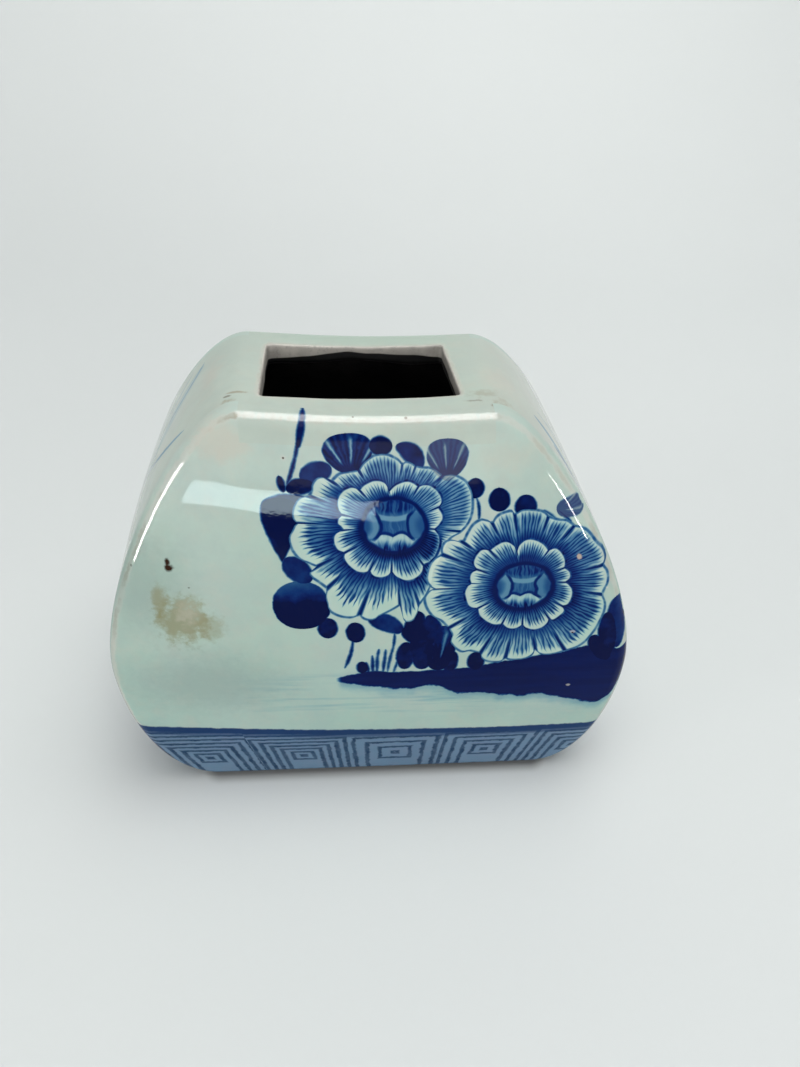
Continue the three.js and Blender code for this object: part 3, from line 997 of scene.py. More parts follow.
# grassy bank under the flowers: edge heights at distances across the face, in millimetres
bank = {
    "span": (-10.0, 56.0),
    "top": [(-10, 37.8), (-8, 38.5), (-5, 39.1), (-1, 40.0), (5, 39.6), (10, 39.8), (20, 40.4), (25, 41.4),
            (30, 42.2), (35, 43.2), (40, 44.0), (44, 45.2), (48, 45.5), (50, 45.0), (52, 44.2),
            (53.5, 44.8), (56, 45)],
    "bottom": [(-10, 37.9), (-8, 37.2), (-5, 36.2), (0, 34.8), (2, 34.3), (8, 34.8), (13, 34.7), (15.5, 33.2),
               (20, 32.0), (25, 32.3), (27, 31.2), (35, 30.9), (40, 30.0), (45, 28.0), (49, 27.3),
               (52, 29.0), (54, 34.0), (56, 40)],
}


# the millimetres that stand for 1 in the curves round a flower, and half a crease in whole turns
reachScale = 26.0
creaseHalf = 0.02


# curve points for one ring: how far the edge is at each turn, sharp at the notches, and where the creases lie
def ringCurves(centre, petals):
    edge, creases = [], []
    for petal in petals:
        for i, (u, v) in enumerate(petal):
            turn = math.atan2(v - centre[1], u - centre[0]) / math.tau + 0.5
            away = math.hypot(u - centre[0], v - centre[1])
            edge.append((turn, away / reachScale, i == 0))
            if i == 0:
                creases.append(turn)
    seam = (min(edge)[1] + max(edge)[1]) / 2
    edge += [(0.0, seam, False), (1.0, seam, False)]
    folds = [(0.0, 0.0, True), (1.0, 0.0, True)]
    for turn in creases:
        folds += [(turn - creaseHalf, 0.0, True), (turn, 1.0, True), (turn + creaseHalf, 0.0, True)]
    return edge, [(x, y, sharp) for x, y, sharp in folds if 0 <= x <= 1]


# curve points for a value that changes with the direction in degrees
def aroundCurve(values, scale):
    points = [(angle / 360 + 0.5, value / scale, False) for angle, value in values]
    seam = (min(points)[1] + max(points)[1]) / 2
    return points + [(0.0, seam, False), (1.0, seam, False)]


def paintPeony(ink, place, peony, seed):
    centre = peony["centre"]
    x, y, _ = splitXyz(vectorCalc("SUBTRACT", place, (*centre, 0.0)))
    reach = lengthOf(x, y)
    turn = calc("ARCTAN2", y, x).scaled(1 / math.tau, 0.5)
    inside = None
    for ring, lines, outline in (("outer", 126.0, 0.5), ("inner", 98.0, 0.85)):
        edge, creases = ringCurves(centre, peony[ring])
        tips = aroundCurve(peony[ring + "Tips"], reachScale)
        edge, tip = [drawnCurve(turn, points) * reachScale for points in (edge, tips)]
        deep, mid = [drawnCurve(turn, aroundCurve(peony[ring + tone], 1)) for tone in ("Deep", "Mid")]
        if ring == "outer":
            start, _ = ringCurves(centre, peony["inner"])
            start = drawnCurve(turn, start) * reachScale
        else:
            start = peony["heart"]["wide"]
        petals = useGroup(petalRing, Ink=ink, Turn=turn, Reach=reach, Edge=edge, Tip=tip, Start=start,
                          Crease=drawnCurve(turn, creases), Lines=lines, Deep=deep, Mid=mid, Outline=outline,
                          Seed=seed)
        ink = petals["Ink"]
        inside = inside or petals["Inside"]
        seed += 3.0
    heart = peony["heart"]
    ink = useGroup(peonyHeart, Ink=ink, Place=place, Centre=(*heart["at"], 0.0), Wide=heart["wide"],
                   High=heart["high"], Left=heart["left"], Right=heart["right"], Seed=seed)["Ink"]
    return ink, inside


# where a mark starts and the two directions that its group measures along
def markFrame(u0, v0, u1, v1):
    long = math.hypot(u1 - u0, v1 - v0)
    dx, dy = (u1 - u0) / long, (v1 - v0) / long
    along, across = (dx / long, dy / long, 0.0), (-dy, dx, 0.0)
    return {"From": (u0, v0, 0.0), "Along": along, "Across": across, "Long": long}


def paintMarks(ink, place, marks, mottle):
    for *ends, wide, bend, full, skew, tone in marks:
        mark = useGroup(brushMark, Ink=ink, Place=place, Half=wide, Bend=float(bend), Full=full,
                        Skew=float(skew), Tone=tone, Grain=mottle, **markFrame(*ends))
        ink = mark["Ink"]
    return ink


def paintLeaves(ink, place, leaves, mottle):
    violet = 0.0
    for *ends, wide, full, skew, foot, tip, veins, phase, scrape, isViolet in leaves:
        leaf = useGroup(veinedLeaf, Ink=ink, Place=place, Half=wide, Full=full, Skew=skew, Foot=foot,
                        Tip=tip, Veins=veins, Phase=phase, Scrape=scrape, Grain=mottle, **markFrame(*ends))
        ink = leaf["Ink"]
        if isViolet:
            violet = highest(violet, leaf["Mask"])
    return ink, violet


def paintBank(ink, u, v, mottle):
    low, high = bank["span"]
    given = {"Value": u, "From Min": low, "From Max": high}
    along = Value(addNode(u.tree, "ShaderNodeMapRange", given).outputs[0])
    edges = []
    for name in ("top", "bottom"):
        points = [((x - low) / (high - low), y / 100, False) for x, y in bank[name]]
        edges.append(drawnCurve(along, points) * 100.0)
    above = edges[0] - v + (mottle - 0.5)
    ragged = grain(joinXyz(u, v, 4.0), 0.22, 3.0, 0.6) - 0.5
    below = ragged.scaled(3.4, v - edges[1])
    shape = ease(above, -0.25, 0.25) * ease(below, -0.5, 0.35)
    streaks = grain(joinXyz(u * 0.05, v * 0.5, 3.0), 1.0, 3.0)
    tone = streaks.scaled(0.16, 0.86)
    drawn = ease(u, low + 1.0, low + 2.5)
    ink = highest(ink, shape * drawn * tone)
    runoff = ease(below, -3.6, -0.2, 0.0, 0.3) * (streaks * drawn)
    return highest(ink, runoff * ease(above, -0.1, 0.1))


brushMark, veinedLeaf, petalRing = buildBrushMark(), buildVeinedLeaf(), buildPetalRing()
peonyHeart, keyFretBand = buildPeonyHeart(), buildKeyFret()

# colours of the fired surface, with the painted shade of the foot and of the face's left side, as linear
# values
glazeColours = {
    "green": (0.350, 0.490, 0.420, 1.0),
    "pale": (0.465, 0.555, 0.500, 1.0),
    "tan": (0.260, 0.225, 0.150, 1.0),
    "spill": (0.235, 0.225, 0.110, 1.0),
    "blush": (0.510, 0.470, 0.400, 1.0),
    "petal": (1.160, 1.150, 1.110, 1.0),
    "crest": (0.560, 0.540, 0.490, 1.0),
    "chip": (0.500, 0.410, 0.310, 1.0),
    "iron": (0.030, 0.012, 0.006, 1.0),
    "grit": (0.090, 0.070, 0.050, 1.0),
    "fretWash": (0.345, 0.415, 0.700, 1.0),
    "fretLine": (0.038, 0.085, 0.220, 1.0),
    "fretBar": (0.020, 0.070, 0.260, 1.0),
    "footShade": (0.030, 0.036, 0.050, 1.0),
    "shade": (0.240, 0.320, 0.290, 1.0),
    "violet": (0.060, 0.065, 0.130, 1.0),
    "cool": (0.96, 0.97, 1.005, 1.0),
    "pooled": (0.90, 0.915, 0.93, 1.0),
    "driedInk": (0.0015, 0.0015, 0.002, 1.0),
}
# the glaze's gloss lies in the coat alone
glazeCoat = {
    "Specular IOR Level": 0.0,
    "Coat Weight": 1.0,
    "Coat Roughness": 0.022,
    "Coat IOR": 1.145,
}
# how tan the bare rims of the sides are and how high the fret band reaches there
sideTans = {"left": 0.95, "right": 0.45}
sideBandTops = {"left": 22.3, "right": 18.9}
# the painting on the top slab: above which height a mark reaches it, and between which depths it fades
paintedTop = {"marksAbove": 88, "fade": (-8.0, -4.0)}
inkStops = [
    (0.0, (1.0, 1.0, 1.0)),
    (0.12, (0.62, 0.77, 0.90)),
    (0.3, (0.23, 0.42, 0.68)),
    (0.45, (0.075, 0.22, 0.51)),
    (0.6, (0.026, 0.115, 0.39)),
    (0.75, (0.006, 0.048, 0.29)),
    (0.88, (0.002, 0.018, 0.19)),
    (1.0, (0.0008, 0.007, 0.095)),
]


def attributeOf(tree, name):
    return Value(addNode(tree, "ShaderNodeAttribute", {}, attribute_name=name).outputs["Vector"])


def coordinates(tree, name):
    return Value(tree.nodes.new("ShaderNodeTexCoord").outputs[name])


def colourStops(tree, value, stops):
    node = tree.nodes.new("ShaderNodeValToRGB")
    ramp = node.color_ramp
    while len(ramp.elements) < len(stops):
        ramp.elements.new(0.5)
    for element, (place, colour) in zip(ramp.elements, stops):
        element.position, element.color = place, (*colour, 1.0)
    feed(node.inputs[0], value)
    return Value(node.outputs[0])


# surface directions after raising the surface by a height in units of the distance, which is in metres
def bumped(height, strength=0.5, distance=0.00006):
    given = {"Height": height, "Strength": strength, "Distance": distance}
    return Value(addNode(height.tree, "ShaderNodeBump", given).outputs[0])


# a new material: its nodes and the inputs of its shader
def newMaterial(name):
    material = bpy.data.materials.new(name)
    material.use_nodes = True
    tree = material.node_tree
    return material, tree, tree.nodes["Principled BSDF"].inputs


# bare celadon: clouds, paler towards the top partly as painted light, thin rims with a tan line, grit in the
# pinholes; Thin is millimetres to a rim
def buildCeladon():
    inputs = {"Place": origin, "Thin": 10.0, "Height": 50.0, "Tan": 0.5}
    tree, given, done = newGroup("celadonBody", inputs, {"Colour": 4, "Mottle": 0})
    place, height = given["Place"], given["Height"]
    mottle = grain(place, 0.55, 3.0, 0.6)
    # paler higher up: partly the glaze's own clouds, partly painted light on the upper face and painted shade
    # low down
    rise = height.scaled(0.0085, grain(place, 0.045, 4.0, 0.55) * 1.3)
    body = blend(ease(rise, 0.62, 1.6), glazeColours["green"], glazeColours["pale"])
    body = blend(ease(height, 30.0, 56.0, 0.8, 0.0), body, tinted(body, glazeColours["cool"]))
    pooled = ease(grain(place, 0.09, 4.0, 0.62), 0.36, 0.66)
    body = blend(pooled, body, tinted(body, glazeColours["pooled"]))
    fine = grain(place, 0.24, 4.0, 0.65)
    body = blend(ease(fine, 0.4, 0.75, 0.0, 0.22), body, glazeColours["blush"])
    wear = (mottle - 0.5).scaled(1.8, given["Thin"])
    low = ease(height, 20.0, 60.0, 0.72, 0.45)
    body = blend(ease(wear, 0.4, 1.1, 1.0, 0.0) * low, body, glazeColours["crest"])
    broken = ease(grain(place, 0.16, 3.0, 0.6), 0.38, 0.6) * ease(height, 40.0, 66.0, 0.12, 1.0)
    body = blend(ease(wear, 0.2, 0.75, given["Tan"], 0.0) * broken, body, glazeColours["tan"])
    cells = addNode(tree, "ShaderNodeTexVoronoi", {"Vector": place, "Scale": 0.3}).outputs
    chance = splitXyz(Value(cells["Color"]))[0]
    near = ease(wear, 0.5, 3.0, 0.36, 0.04)
    dot = ease(near - chance, 0.0, 0.25) * 0.085 - Value(cells["Distance"])
    body = blend(ease(dot, -0.03, 0.02, 0.0, 0.8), body, glazeColours["grit"])
    feed(done["Colour"], body)
    feed(done["Mottle"], mottle)
    return tree


# soft round stain: how strongly it covers, ragged by the grain
def buildStain():
    inputs = {"Place": origin, "Centre": origin, "Wide": 5.0, "High": 5.0, "Soft": 0.3, "Grain": 0.5,
              "Ragged": 0.5}
    tree, given, done = newGroup("glazeStain", inputs, {"Cover": 0})
    x, y, _ = splitXyz(vectorCalc("SUBTRACT", given["Place"], given["Centre"]))
    reach = lengthOf(x / given["Wide"], y / given["High"])
    reach = (given["Grain"] - 0.5).scaled(given["Ragged"], reach)
    feed(done["Cover"], ease(reach, 1.0 - given["Soft"], 1.0, 1.0, 0.0))
    return tree


# stains of the front, with two patches of painted shade on its left side: colour, centre, half sizes,
# softness, raggedness, strength
frontStains = [
    ("blush", (-27.0, 90.5), 7.5, 5.0, 0.7, 0.8, 0.55),
    ("blush", (26.0, 88.0), 9.0, 4.0, 0.9, 0.8, 0.3),
    # painted shade darkening the left of the face
    ("shade", (-36.0, 37.0), 24.0, 14.0, 0.9, 0.5, 0.55),
    ("shade", (-45.0, 62.0), 14.0, 17.0, 0.9, 0.5, 0.5),
    ("spill", (-38.4, 54.2), 6.8, 7.0, 0.6, 1.2, 0.72),
    ("spill", (-33.0, 52.4), 3.8, 4.4, 0.6, 1.3, 0.42),
    ("spill", (-42.0, 58.8), 2.4, 4.6, 0.7, 1.3, 0.62),
    ("blush", (-37.4, 55.6), 3.4, 3.8, 0.9, 1.8, 0.42),
    ("tan", (-35.8, 50.5), 3.0, 3.6, 0.7, 2.2, 0.1),
    ("chip", (41.0, 67.3), 0.65, 0.8, 0.5, 1.6, 0.85),
    ("crest", (41.3, 49.3), 0.75, 0.5, 0.6, 1.2, 0.5),
    ("crest", (42.2, 33.5), 0.6, 0.4, 0.6, 2.2, 0.45),
    ("crest", (30.2, 42.7), 0.35, 0.2, 0.6, 1.2, 0.6),
    ("crest", (-16.0, 88.2), 0.9, 0.9, 0.8, 0.5, 0.5),
    ("crest", (47.6, 60.0), 0.4, 0.3, 0.6, 1.4, 0.6),
    ("iron", (-39.3, 66.2), 1.25, 1.0, 0.6, 1.4, 1.0),
    ("iron", (-39.5, 67.4), 0.7, 1.1, 0.6, 1.2, 1.0),
    ("iron", (-16.0, 88.2), 0.28, 0.28, 0.5, 0.5, 0.9),
    ("iron", (41.3, 49.0), 0.32, 0.2, 0.5, 0.5, 1.0),
    ("iron", (-36.1, 61.8), 0.3, 0.2, 0.5, 0.5, 0.6),
]

# scuffs on the top slab, across and from front to back: same fields
topStains = [
    ("tan", (-24.6, -11.2), 2.8, 0.6, 0.7, 1.4, 0.7),
    ("grit", (-26.2, -12.4), 0.9, 0.5, 0.6, 1.8, 0.7),
    ("tan", (-25.6, -14.2), 1.8, 1.2, 0.8, 2.2, 0.6),
    ("grit", (20.6, -13.4), 2.0, 0.45, 0.8, 3.0, 0.5),
    ("grit", (24.0, -15.4), 1.8, 0.8, 0.8, 3.0, 0.6),
    ("grit", (26.4, -17.4), 1.6, 1.2, 0.8, 3.4, 0.6),
    ("tan", (23.0, -11.0), 4.4, 2.0, 0.9, 2.4, 0.45),
    ("tan", (25.5, -15.0), 3.4, 2.6, 0.9, 3.0, 0.45),
    ("green", (0.0, 16.0), 30.0, 6.5, 0.8, 0.6, 0.6),
    ("blush", (0.0, 0.0), 60.0, 60.0, 0.1, 0.0, 0.16),
    ("spill", (0.0, 0.0), 60.0, 60.0, 0.1, 0.0, 0.06),
    ("blush", (27.0, -4.0), 5.0, 8.0, 0.9, 1.4, 0.35),
    ("blush", (-31.0, 2.0), 3.0, 10.0, 0.9, 1.4, 0.35),
]


def addStains(colour, stains, spot, mottle, names):
    for name, centre, wide, high, soft, ragged, strength in stains:
        if name in names:
            cover = useGroup(glazeStain, Place=spot, Centre=(*centre, 0.0), Wide=wide, High=high, Soft=soft,
                             Ragged=ragged, Grain=mottle)["Cover"]
            colour = blend(cover * strength, colour, glazeColours[name])
    return colour


# thin grey washes that the brush left across the lower face
def paleWashes(u, v):
    bands = ease(grain(joinXyz(u * 0.03, v * 0.42, 8.0), 1.0, 3.0, 0.55), 0.47, 0.7)
    low = ease(v, 22.0, 30.0) * ease(v, 36.0, 42.0, 1.0, 0.0)
    return bands * (low * ease(u, -34.0, -10.0, 0.0, 0.13))


# cobalt on the front and on the part of the top that it reaches over: ink, violet tint and the coloured body
def paintFlowers(side, colour, place, spot, mottle):
    x, faceUp, _ = splitXyz(spot)
    ink, floor = 0.0, 0.0
    if side == "front":
        ink = paleWashes(x, faceUp)
    else:
        floor = paintedTop["marksAbove"]
    ink = paintMarks(ink, spot, [m for m in frontMarks if max(m[1], m[3]) > floor], mottle)
    ink, violet = paintLeaves(ink, spot, [m for m in frontLeaves if max(m[1], m[3]) > floor], mottle)
    ink = ink * ease(grain(place, 0.2, 2.0, 0.5), 0.32, 0.62, 0.9, 1.06)
    if side == "front":
        ink = paintBank(ink, x, faceUp, mottle)
        for seed, peony in enumerate(peonies):
            ink, inside = paintPeony(ink, spot, peony, float(seed * 11))
            colour = blend(inside, colour, tinted(colour, glazeColours["petal"]))
    return ink, violet, colour


# the fret band round the foot: the coloured body and its dark lines; the band's top edge droops on the faces
def paintBand(side, colour, bare, across, faceUp, mottle):
    if side in sideBandTops:
        top, fan = sideBandTops[side], 0.0
    else:
        top, fan = (across * across).scaled(0.00053, across.scaled(-0.041, 19.8)), 0.008
    band = useGroup(keyFretBand, Across=across, Up=faceUp, Top=top, Grain=mottle, Fan=fan)
    for cover, shade in (("Wash", "fretWash"), ("Lines", "fretLine"), ("Bar", "fretBar")):
        colour = blend(band[cover], colour, tinted(bare, glazeColours[shade]))
    return colour, band["Lines"]


# glaze and painting of one side of the pot
def glazeMaterial(name, side):
    material, tree, shader = newMaterial(name)
    place, run = attributeOf(tree, "place"), attributeOf(tree, "run")
    x, y, z = splitXyz(place)
    faceUp, _, thin = splitXyz(run)
    spot = joinXyz(x, faceUp, 0.0)
    tan = ease(x, -24.0, -18.0, 0.6, 0.25) if side == "front" else sideTans.get(side, 0.25)
    body = useGroup(celadonBody, Place=place, Thin=thin, Height=z, Tan=tan)
    mottle, colour = body["Mottle"], body["Colour"]
    ink = 0.0
    if side in sideMarks:
        ink = paintMarks(ink, joinXyz(y, z, 0.0), sideMarks[side], mottle)
    if side in ("top", "left", "right"):
        scuffed = ("blush", "tan", "grit", "green", "spill")
        colour = addStains(colour, topStains, joinXyz(x, y, 0.0), mottle, scuffed)
    if side in ("top", "right"):
        bleached = ease(x, 16.0, 36.0) * ease(z, 50.0, 82.0, 0.0, 0.35)
        colour = blend(bleached, colour, glazeColours["crest"])
    if side == "front":
        colour = addStains(colour, frontStains, spot, mottle, ("shade", "blush", "spill", "tan"))
    if side in ("front", "top"):
        ink, violet, colour = paintFlowers(side, colour, place, spot, mottle)
        facing = (mottle - 0.5).scaled(0.5, splitXyz(coordinates(tree, "Normal"))[1] * -1.0)
        if side == "top":
            forward = ease(facing, -0.2, 0.1) * ease(y, *paintedTop["fade"], 1.0, 0.0)
        else:
            forward = ease(facing, 0.34, 0.5)
        ink, violet = ink * forward, violet * forward
        colour = tinted(colour, colourStops(tree, ink, inkStops))
        colour = blend(violet * 0.5, colour, glazeColours["violet"])
    else:
        colour = tinted(colour, colourStops(tree, ink, inkStops))
    if side == "front":
        colour = addStains(colour, frontStains, spot, mottle, ("chip", "crest", "iron"))
    if side != "top":
        across = y if side in sideBandTops else x
        colour, lines = paintBand(side, colour, body["Colour"], across, faceUp, mottle)
        ink = highest(ink, lines * 0.6)
        # painted shade: each side but the top darkens towards the floor over its lowest 2.6 mm
        colour = blend(ease(z, 0.7, 2.6, 0.8, 0.0), colour, glazeColours["footShade"])
    if side == "base":
        colour = blend(ease(z, 0.05, 0.3, 1.0, 0.0), colour, glazeColours["blush"])
    feed(shader["Base Color"], colour)
    feed(shader["Roughness"], mottle.scaled(0.25, 0.35))
    for label, value in glazeCoat.items():
        feed(shader[label], value)
    ripples = grain(place, 0.3, 2.0, 0.5) * 0.6
    pits = grain(place, 1.9, 1.0, 0.5) * 0.22
    directions = {0: ink, 4: bumped(ripples), 5: bumped(ripples + pits)}
    mixed = addNode(tree, "ShaderNodeMix", directions, data_type="VECTOR")
    direction = vectorCalc("NORMALIZE", Value(mixed.outputs[1]))
    feed(shader["Normal"], direction)
    feed(shader["Coat Normal"], direction)
    return material


# unglazed surface: base colour, stain colour and its amount, roughness, raised grain, height of an ink line
# with painted shade above it
def clayMaterial(name, colour, stain, amount, rough, raised, shadeAndInkLine=0.0):
    material, tree, shader = newMaterial(name)
    place = coordinates(tree, "Object")
    patches = ease(grain(place, 130.0, 4.0, 0.6), 0.35, 0.7, 0.0, amount)
    speckle = ease(grain(place, 1400.0, 2.0, 0.6), 0.55, 0.75, 0.0, 0.35)
    body = blend(speckle, blend(patches, colour, stain), stain)
    if shadeAndInkLine:
        across, _, height = splitXyz(place)
        height = grain(place, 70.0, 2.0, 0.5).scaled(0.0022, height)
        height = height + ease(abs(across + 0.003), 0.002, 0.012, -0.001, 0.0)
        # painted shade: the cut wall darkens in the stain colour over 4 mm down to the ink line
        body = blend(ease(height, shadeAndInkLine, shadeAndInkLine + 0.004, 0.35, 0.0), body, stain)
        body = blend(ease(height, shadeAndInkLine, shadeAndInkLine + 0.0003, 1.0, 0.0), body, glazeColours["driedInk"])
    feed(shader["Base Color"], body)
    feed(shader["Specular IOR Level"], 0.12)
    feed(shader["Roughness"], speckle.scaled(0.3, rough))
    height = grain(place, 900.0, 3.0, 0.6) + grain(place, 160.0, 2.0, 0.5)
    feed(shader["Normal"], bumped(height, 0.6, raised))
    return material


# painted contact shadow: how far the paper darkens right round the pot's standing face
def paintedContactShadow(x, y):
    beside = abs(x - 0.0018) - pot["baseWidth"] / 2 * mm
    before = abs(y) - (pot["baseDepth"] / 2 - 2.0) * mm
    return ease(lengthOf(highest(beside, 0.0), highest(before, 0.0)), 0.0012, 0.0048, 0.75, 0.0)


# backdrop paper with painted shade: slightly darker to the left and towards the front, and a painted contact
# shadow near the pot
def paperMaterial():
    material, tree, shader = newMaterial("palePaper")
    place = coordinates(tree, "Object")
    x, y, _ = splitXyz(place)
    # painted shade: the paper darker to the left and towards the front, over a faint mottle
    tone = grain(place, 2.2, 2.0, 0.5).scaled(0.4, ease(x, -0.25, 0.15, -0.1, 0.25))
    tone = tone + ease(y, -0.1, 0.35, 0.0, 0.3)
    shade = blend(tone, studio["paperDark"], studio["paperLight"])
    # painted contact shadow right round the pot's foot
    shade = blend(paintedContactShadow(x, y), shade, studio["contactShadow"])
    feed(shader["Base Color"], shade)
    feed(shader["Roughness"], grain(place, 700.0, 2.0, 0.5).scaled(0.2, 0.7))
    return material


celadonBody, glazeStain = buildCeladon(), buildStain()
glazeNames = {
    "front": "paintedFrontGlaze",
    "back": "paintedBackGlaze",
    "left": "leftSideGlaze",
    "right": "rightSideGlaze",
    "top": "topGlaze",
    "base": "baseGlaze",
}
glazes = {side: glazeMaterial(name, side) for side, name in glazeNames.items()}
inked = clayMaterial("inkedClay", (0.006, 0.006, 0.008, 1.0), (0.022, 0.020, 0.020, 1.0), 0.8, 0.45, 0.0002)
clay = clayMaterial("cutClay", (0.60, 0.565, 0.51, 1.0), (0.17, 0.16, 0.145, 1.0), 0.5, 0.5, 0.0001, 0.0915)

pieces = [
    ("frontSlab", slabGrids(-1), "front", "front_slab", "painted_glaze"),
    ("backSlab", slabGrids(1), "back", "back_slab", "painted_glaze"),
    ("leftWall", wallGrids(-1), "left", "left_wall", "pale_glaze"),
    ("rightWall", wallGrids(1), "right", "right_wall", "pale_glaze"),
    ("topSlab", topGrids(), "top", "top_slab", "pale_glaze"),
    ("baseSlab", baseGrids(), "base", "base_slab", "bare_clay"),
]
for name, grids, side, node, slot in pieces:
    mesh = finishPiece(plainMesh(name, grids), glazes[side], inked, clay if side == "top" else None)
    addPiece(name, mesh, node)
skin.free()
print("slabs and walls built")

# rolled coils pressed into the inner corners: sizes in millimetres
coils = {
    "radius": 1.9,
    "sides": 14,
    "step": 1.1,
    "inset": 6.3,
    "baseHeight": 6.6,
    "endDrop": 14.0,
    "gap": 0.3,
    "press": 0.35,
    "grain": 190.0,
    "footShorter": 2.1,
    "topLonger": 1.5,
}


def coilDepth(z):
    slope = halfDepth(z + 0.5) - halfDepth(z - 0.5)
    return halfDepth(z) - pot["wall"] - (coils["gap"] + coils["radius"]) * math.hypot(1, slope)


# up one side wall, down to the base, along it and up the other wall
def longCoilPath(side):
    end = pot["height"] - pot["topThickness"] - coils["endDrop"]
    rise = [outlinePoint(t, coils["inset"]) for t in outlineRows]
    rise = [(x, z) for x, z in rise if coils["baseHeight"] < z < end]
    along = [(pot["baseWidth"] / 2 * (1 - i / 6), coils["baseHeight"]) for i in range(13)]
    line = rise[::-1] + along + [(-x, z) for x, z in rise]
    return [byHand(Vector((x, side * coilDepth(z), z))) for x, z in line]


def shortCoilPath(x, z, reach):
    return [byHand(Vector((x, reach * (-1 + i / 10), z))) for i in range(21)]


# node tree that rolls a coil round a path and leaves the dents of pressing fingers on it
def coilTree():
    tree = bpy.data.node_groups.new("pressedCoil", "GeometryNodeTree")
    radius, press = coils["radius"] * mm, coils["press"] * mm
    numbers = {"Radius": radius, "Press": press, "Grain": coils["grain"], "Seed": 0.0}
    tree.interface.new_socket("Path", in_out="INPUT", socket_type="NodeSocketGeometry")
    for name, value in numbers.items():
        socket = tree.interface.new_socket(name, in_out="INPUT", socket_type="NodeSocketFloat")
        socket.default_value = value
    tree.interface.new_socket("Coil", in_out="OUTPUT", socket_type="NodeSocketGeometry")
    kinds = {
        "given": "NodeGroupInput",
        "done": "NodeGroupOutput",
        "curve": "GeometryNodeMeshToCurve",
        "even": "GeometryNodeResampleCurve",
        "circle": "GeometryNodeCurvePrimitiveCircle",
        "tube": "GeometryNodeCurveToMesh",
        "dents": "ShaderNodeTexNoise",
        "centred": "ShaderNodeMath",
        "place": "GeometryNodeInputPosition",
        "facing": "GeometryNodeInputNormal",
        "amount": "ShaderNodeMath",
        "push": "ShaderNodeVectorMath",
        "shift": "GeometryNodeSetPosition",
        "solid": "GeometryNodeRealizeInstances",
        "finish": "GeometryNodeSetMaterial",
    }
    nodes = {name: tree.nodes.new(kind) for name, kind in kinds.items()}
    nodes["even"].mode, nodes["dents"].noise_dimensions = "LENGTH", "4D"
    nodes["centred"].operation, nodes["amount"].operation = "SUBTRACT", "MULTIPLY"
    nodes["push"].operation = "SCALE"
    nodes["even"].inputs["Length"].default_value = coils["step"] * mm
    nodes["circle"].inputs["Resolution"].default_value = coils["sides"]
    nodes["tube"].inputs["Fill Caps"].default_value = True
    nodes["centred"].inputs[1].default_value = 0.5
    nodes["finish"].inputs["Material"].default_value = inked
    links = [
        ("given", "Path", "curve", "Mesh"),
        ("curve", 0, "even", "Curve"),
        ("even", 0, "tube", "Curve"),
        ("given", "Radius", "circle", "Radius"),
        ("circle", 0, "tube", "Profile Curve"),
        ("place", 0, "dents", "Vector"),
        ("given", "Seed", "dents", "W"),
        ("given", "Grain", "dents", "Scale"),
        ("dents", 0, "centred", 0),
        ("centred", 0, "amount", 0),
        ("given", "Press", "amount", 1),
        ("facing", 0, "push", 0),
        ("amount", 0, "push", "Scale"),
        ("tube", 0, "shift", "Geometry"),
        ("push", 0, "shift", "Offset"),
        ("shift", 0, "solid", 0),
        ("solid", 0, "finish", "Geometry"),
        ("finish", 0, "done", "Coil"),
    ]
    for start, output, end, entry in links:
        tree.links.new(nodes[start].outputs[output], nodes[end].inputs[entry])
    return tree


def addCoil(name, path, node, seed):
    line = bpy.data.meshes.new(name + "Path")
    line.from_pydata(path, [(i, i + 1) for i in range(len(path) - 1)], [])
    roll = bpy.data.objects.new(name + "Path", line)
    bpy.context.collection.objects.link(roll)
    rolled = roll.modifiers.new("roll", "NODES")
    rolled.node_group = pressedCoil
    seedSocket = next(item for item in pressedCoil.interface.items_tree if item.name == "Seed")
    rolled[seedSocket.identifier] = float(seed)
    bpy.context.view_layer.update()
    mesh = bpy.data.meshes.new_from_object(roll.evaluated_get(bpy.context.evaluated_depsgraph_get()))
    mesh.name = name
    bpy.data.objects.remove(roll)
    for face in mesh.polygons:
        face.use_smooth = True
    addPiece(name, mesh, node)


pressedCoil = coilTree()
topCoilHeight = pot["height"] - pot["topThickness"] - coils["gap"] - coils["radius"]
footReach = coilDepth(coils["baseHeight"]) - coils["footShorter"]
topReach = coilDepth(topCoilHeight) + coils["topLonger"]
addCoil("frontSeamCoil", longCoilPath(-1), "front_seam_coil", 1)
addCoil("backSeamCoil", longCoilPath(1), "back_seam_coil", 2)
for side, sign in (("left", -1), ("right", 1)):
    footPath = shortCoilPath(sign * pot["baseWidth"] / 2, coils["baseHeight"], footReach)
    topPath = shortCoilPath(sign * pot["topWidth"] / 2, topCoilHeight, topReach)
    addCoil(side + "FootCoil", footPath, side + "_foot_coil", 3 + sign)
    addCoil(side + "TopCoil", topPath, side + "_top_coil", 6 + sign)
print("inner coils rolled")

# camera at the photograph's place, fitted to the pot's outline: metres, and its right and down axes
camera = {
    "place": (-0.01166, -0.1517, 0.168363),
    "right": (0.995283, -0.082859, 0.050464),
    "down": (-0.010696, -0.610709, -0.791783),
    "lens": 27.67,
}
lensData = bpy.data.cameras.new("photoCamera")
lensData.lens, lensData.sensor_width = camera["lens"], 36
lensData.clip_start, lensData.clip_end = 0.01, 20
photoCamera = bpy.data.objects.new("photoCamera", lensData)
right, up = Vector(camera["right"]), -Vector(camera["down"])
axes = Matrix((right, up, right.cross(up))).transposed()
photoCamera.matrix_world = Matrix.Translation(camera["place"]) @ axes.to_4x4()
bpy.context.collection.objects.link(photoCamera)
bpy.context.scene.camera = photoCamera

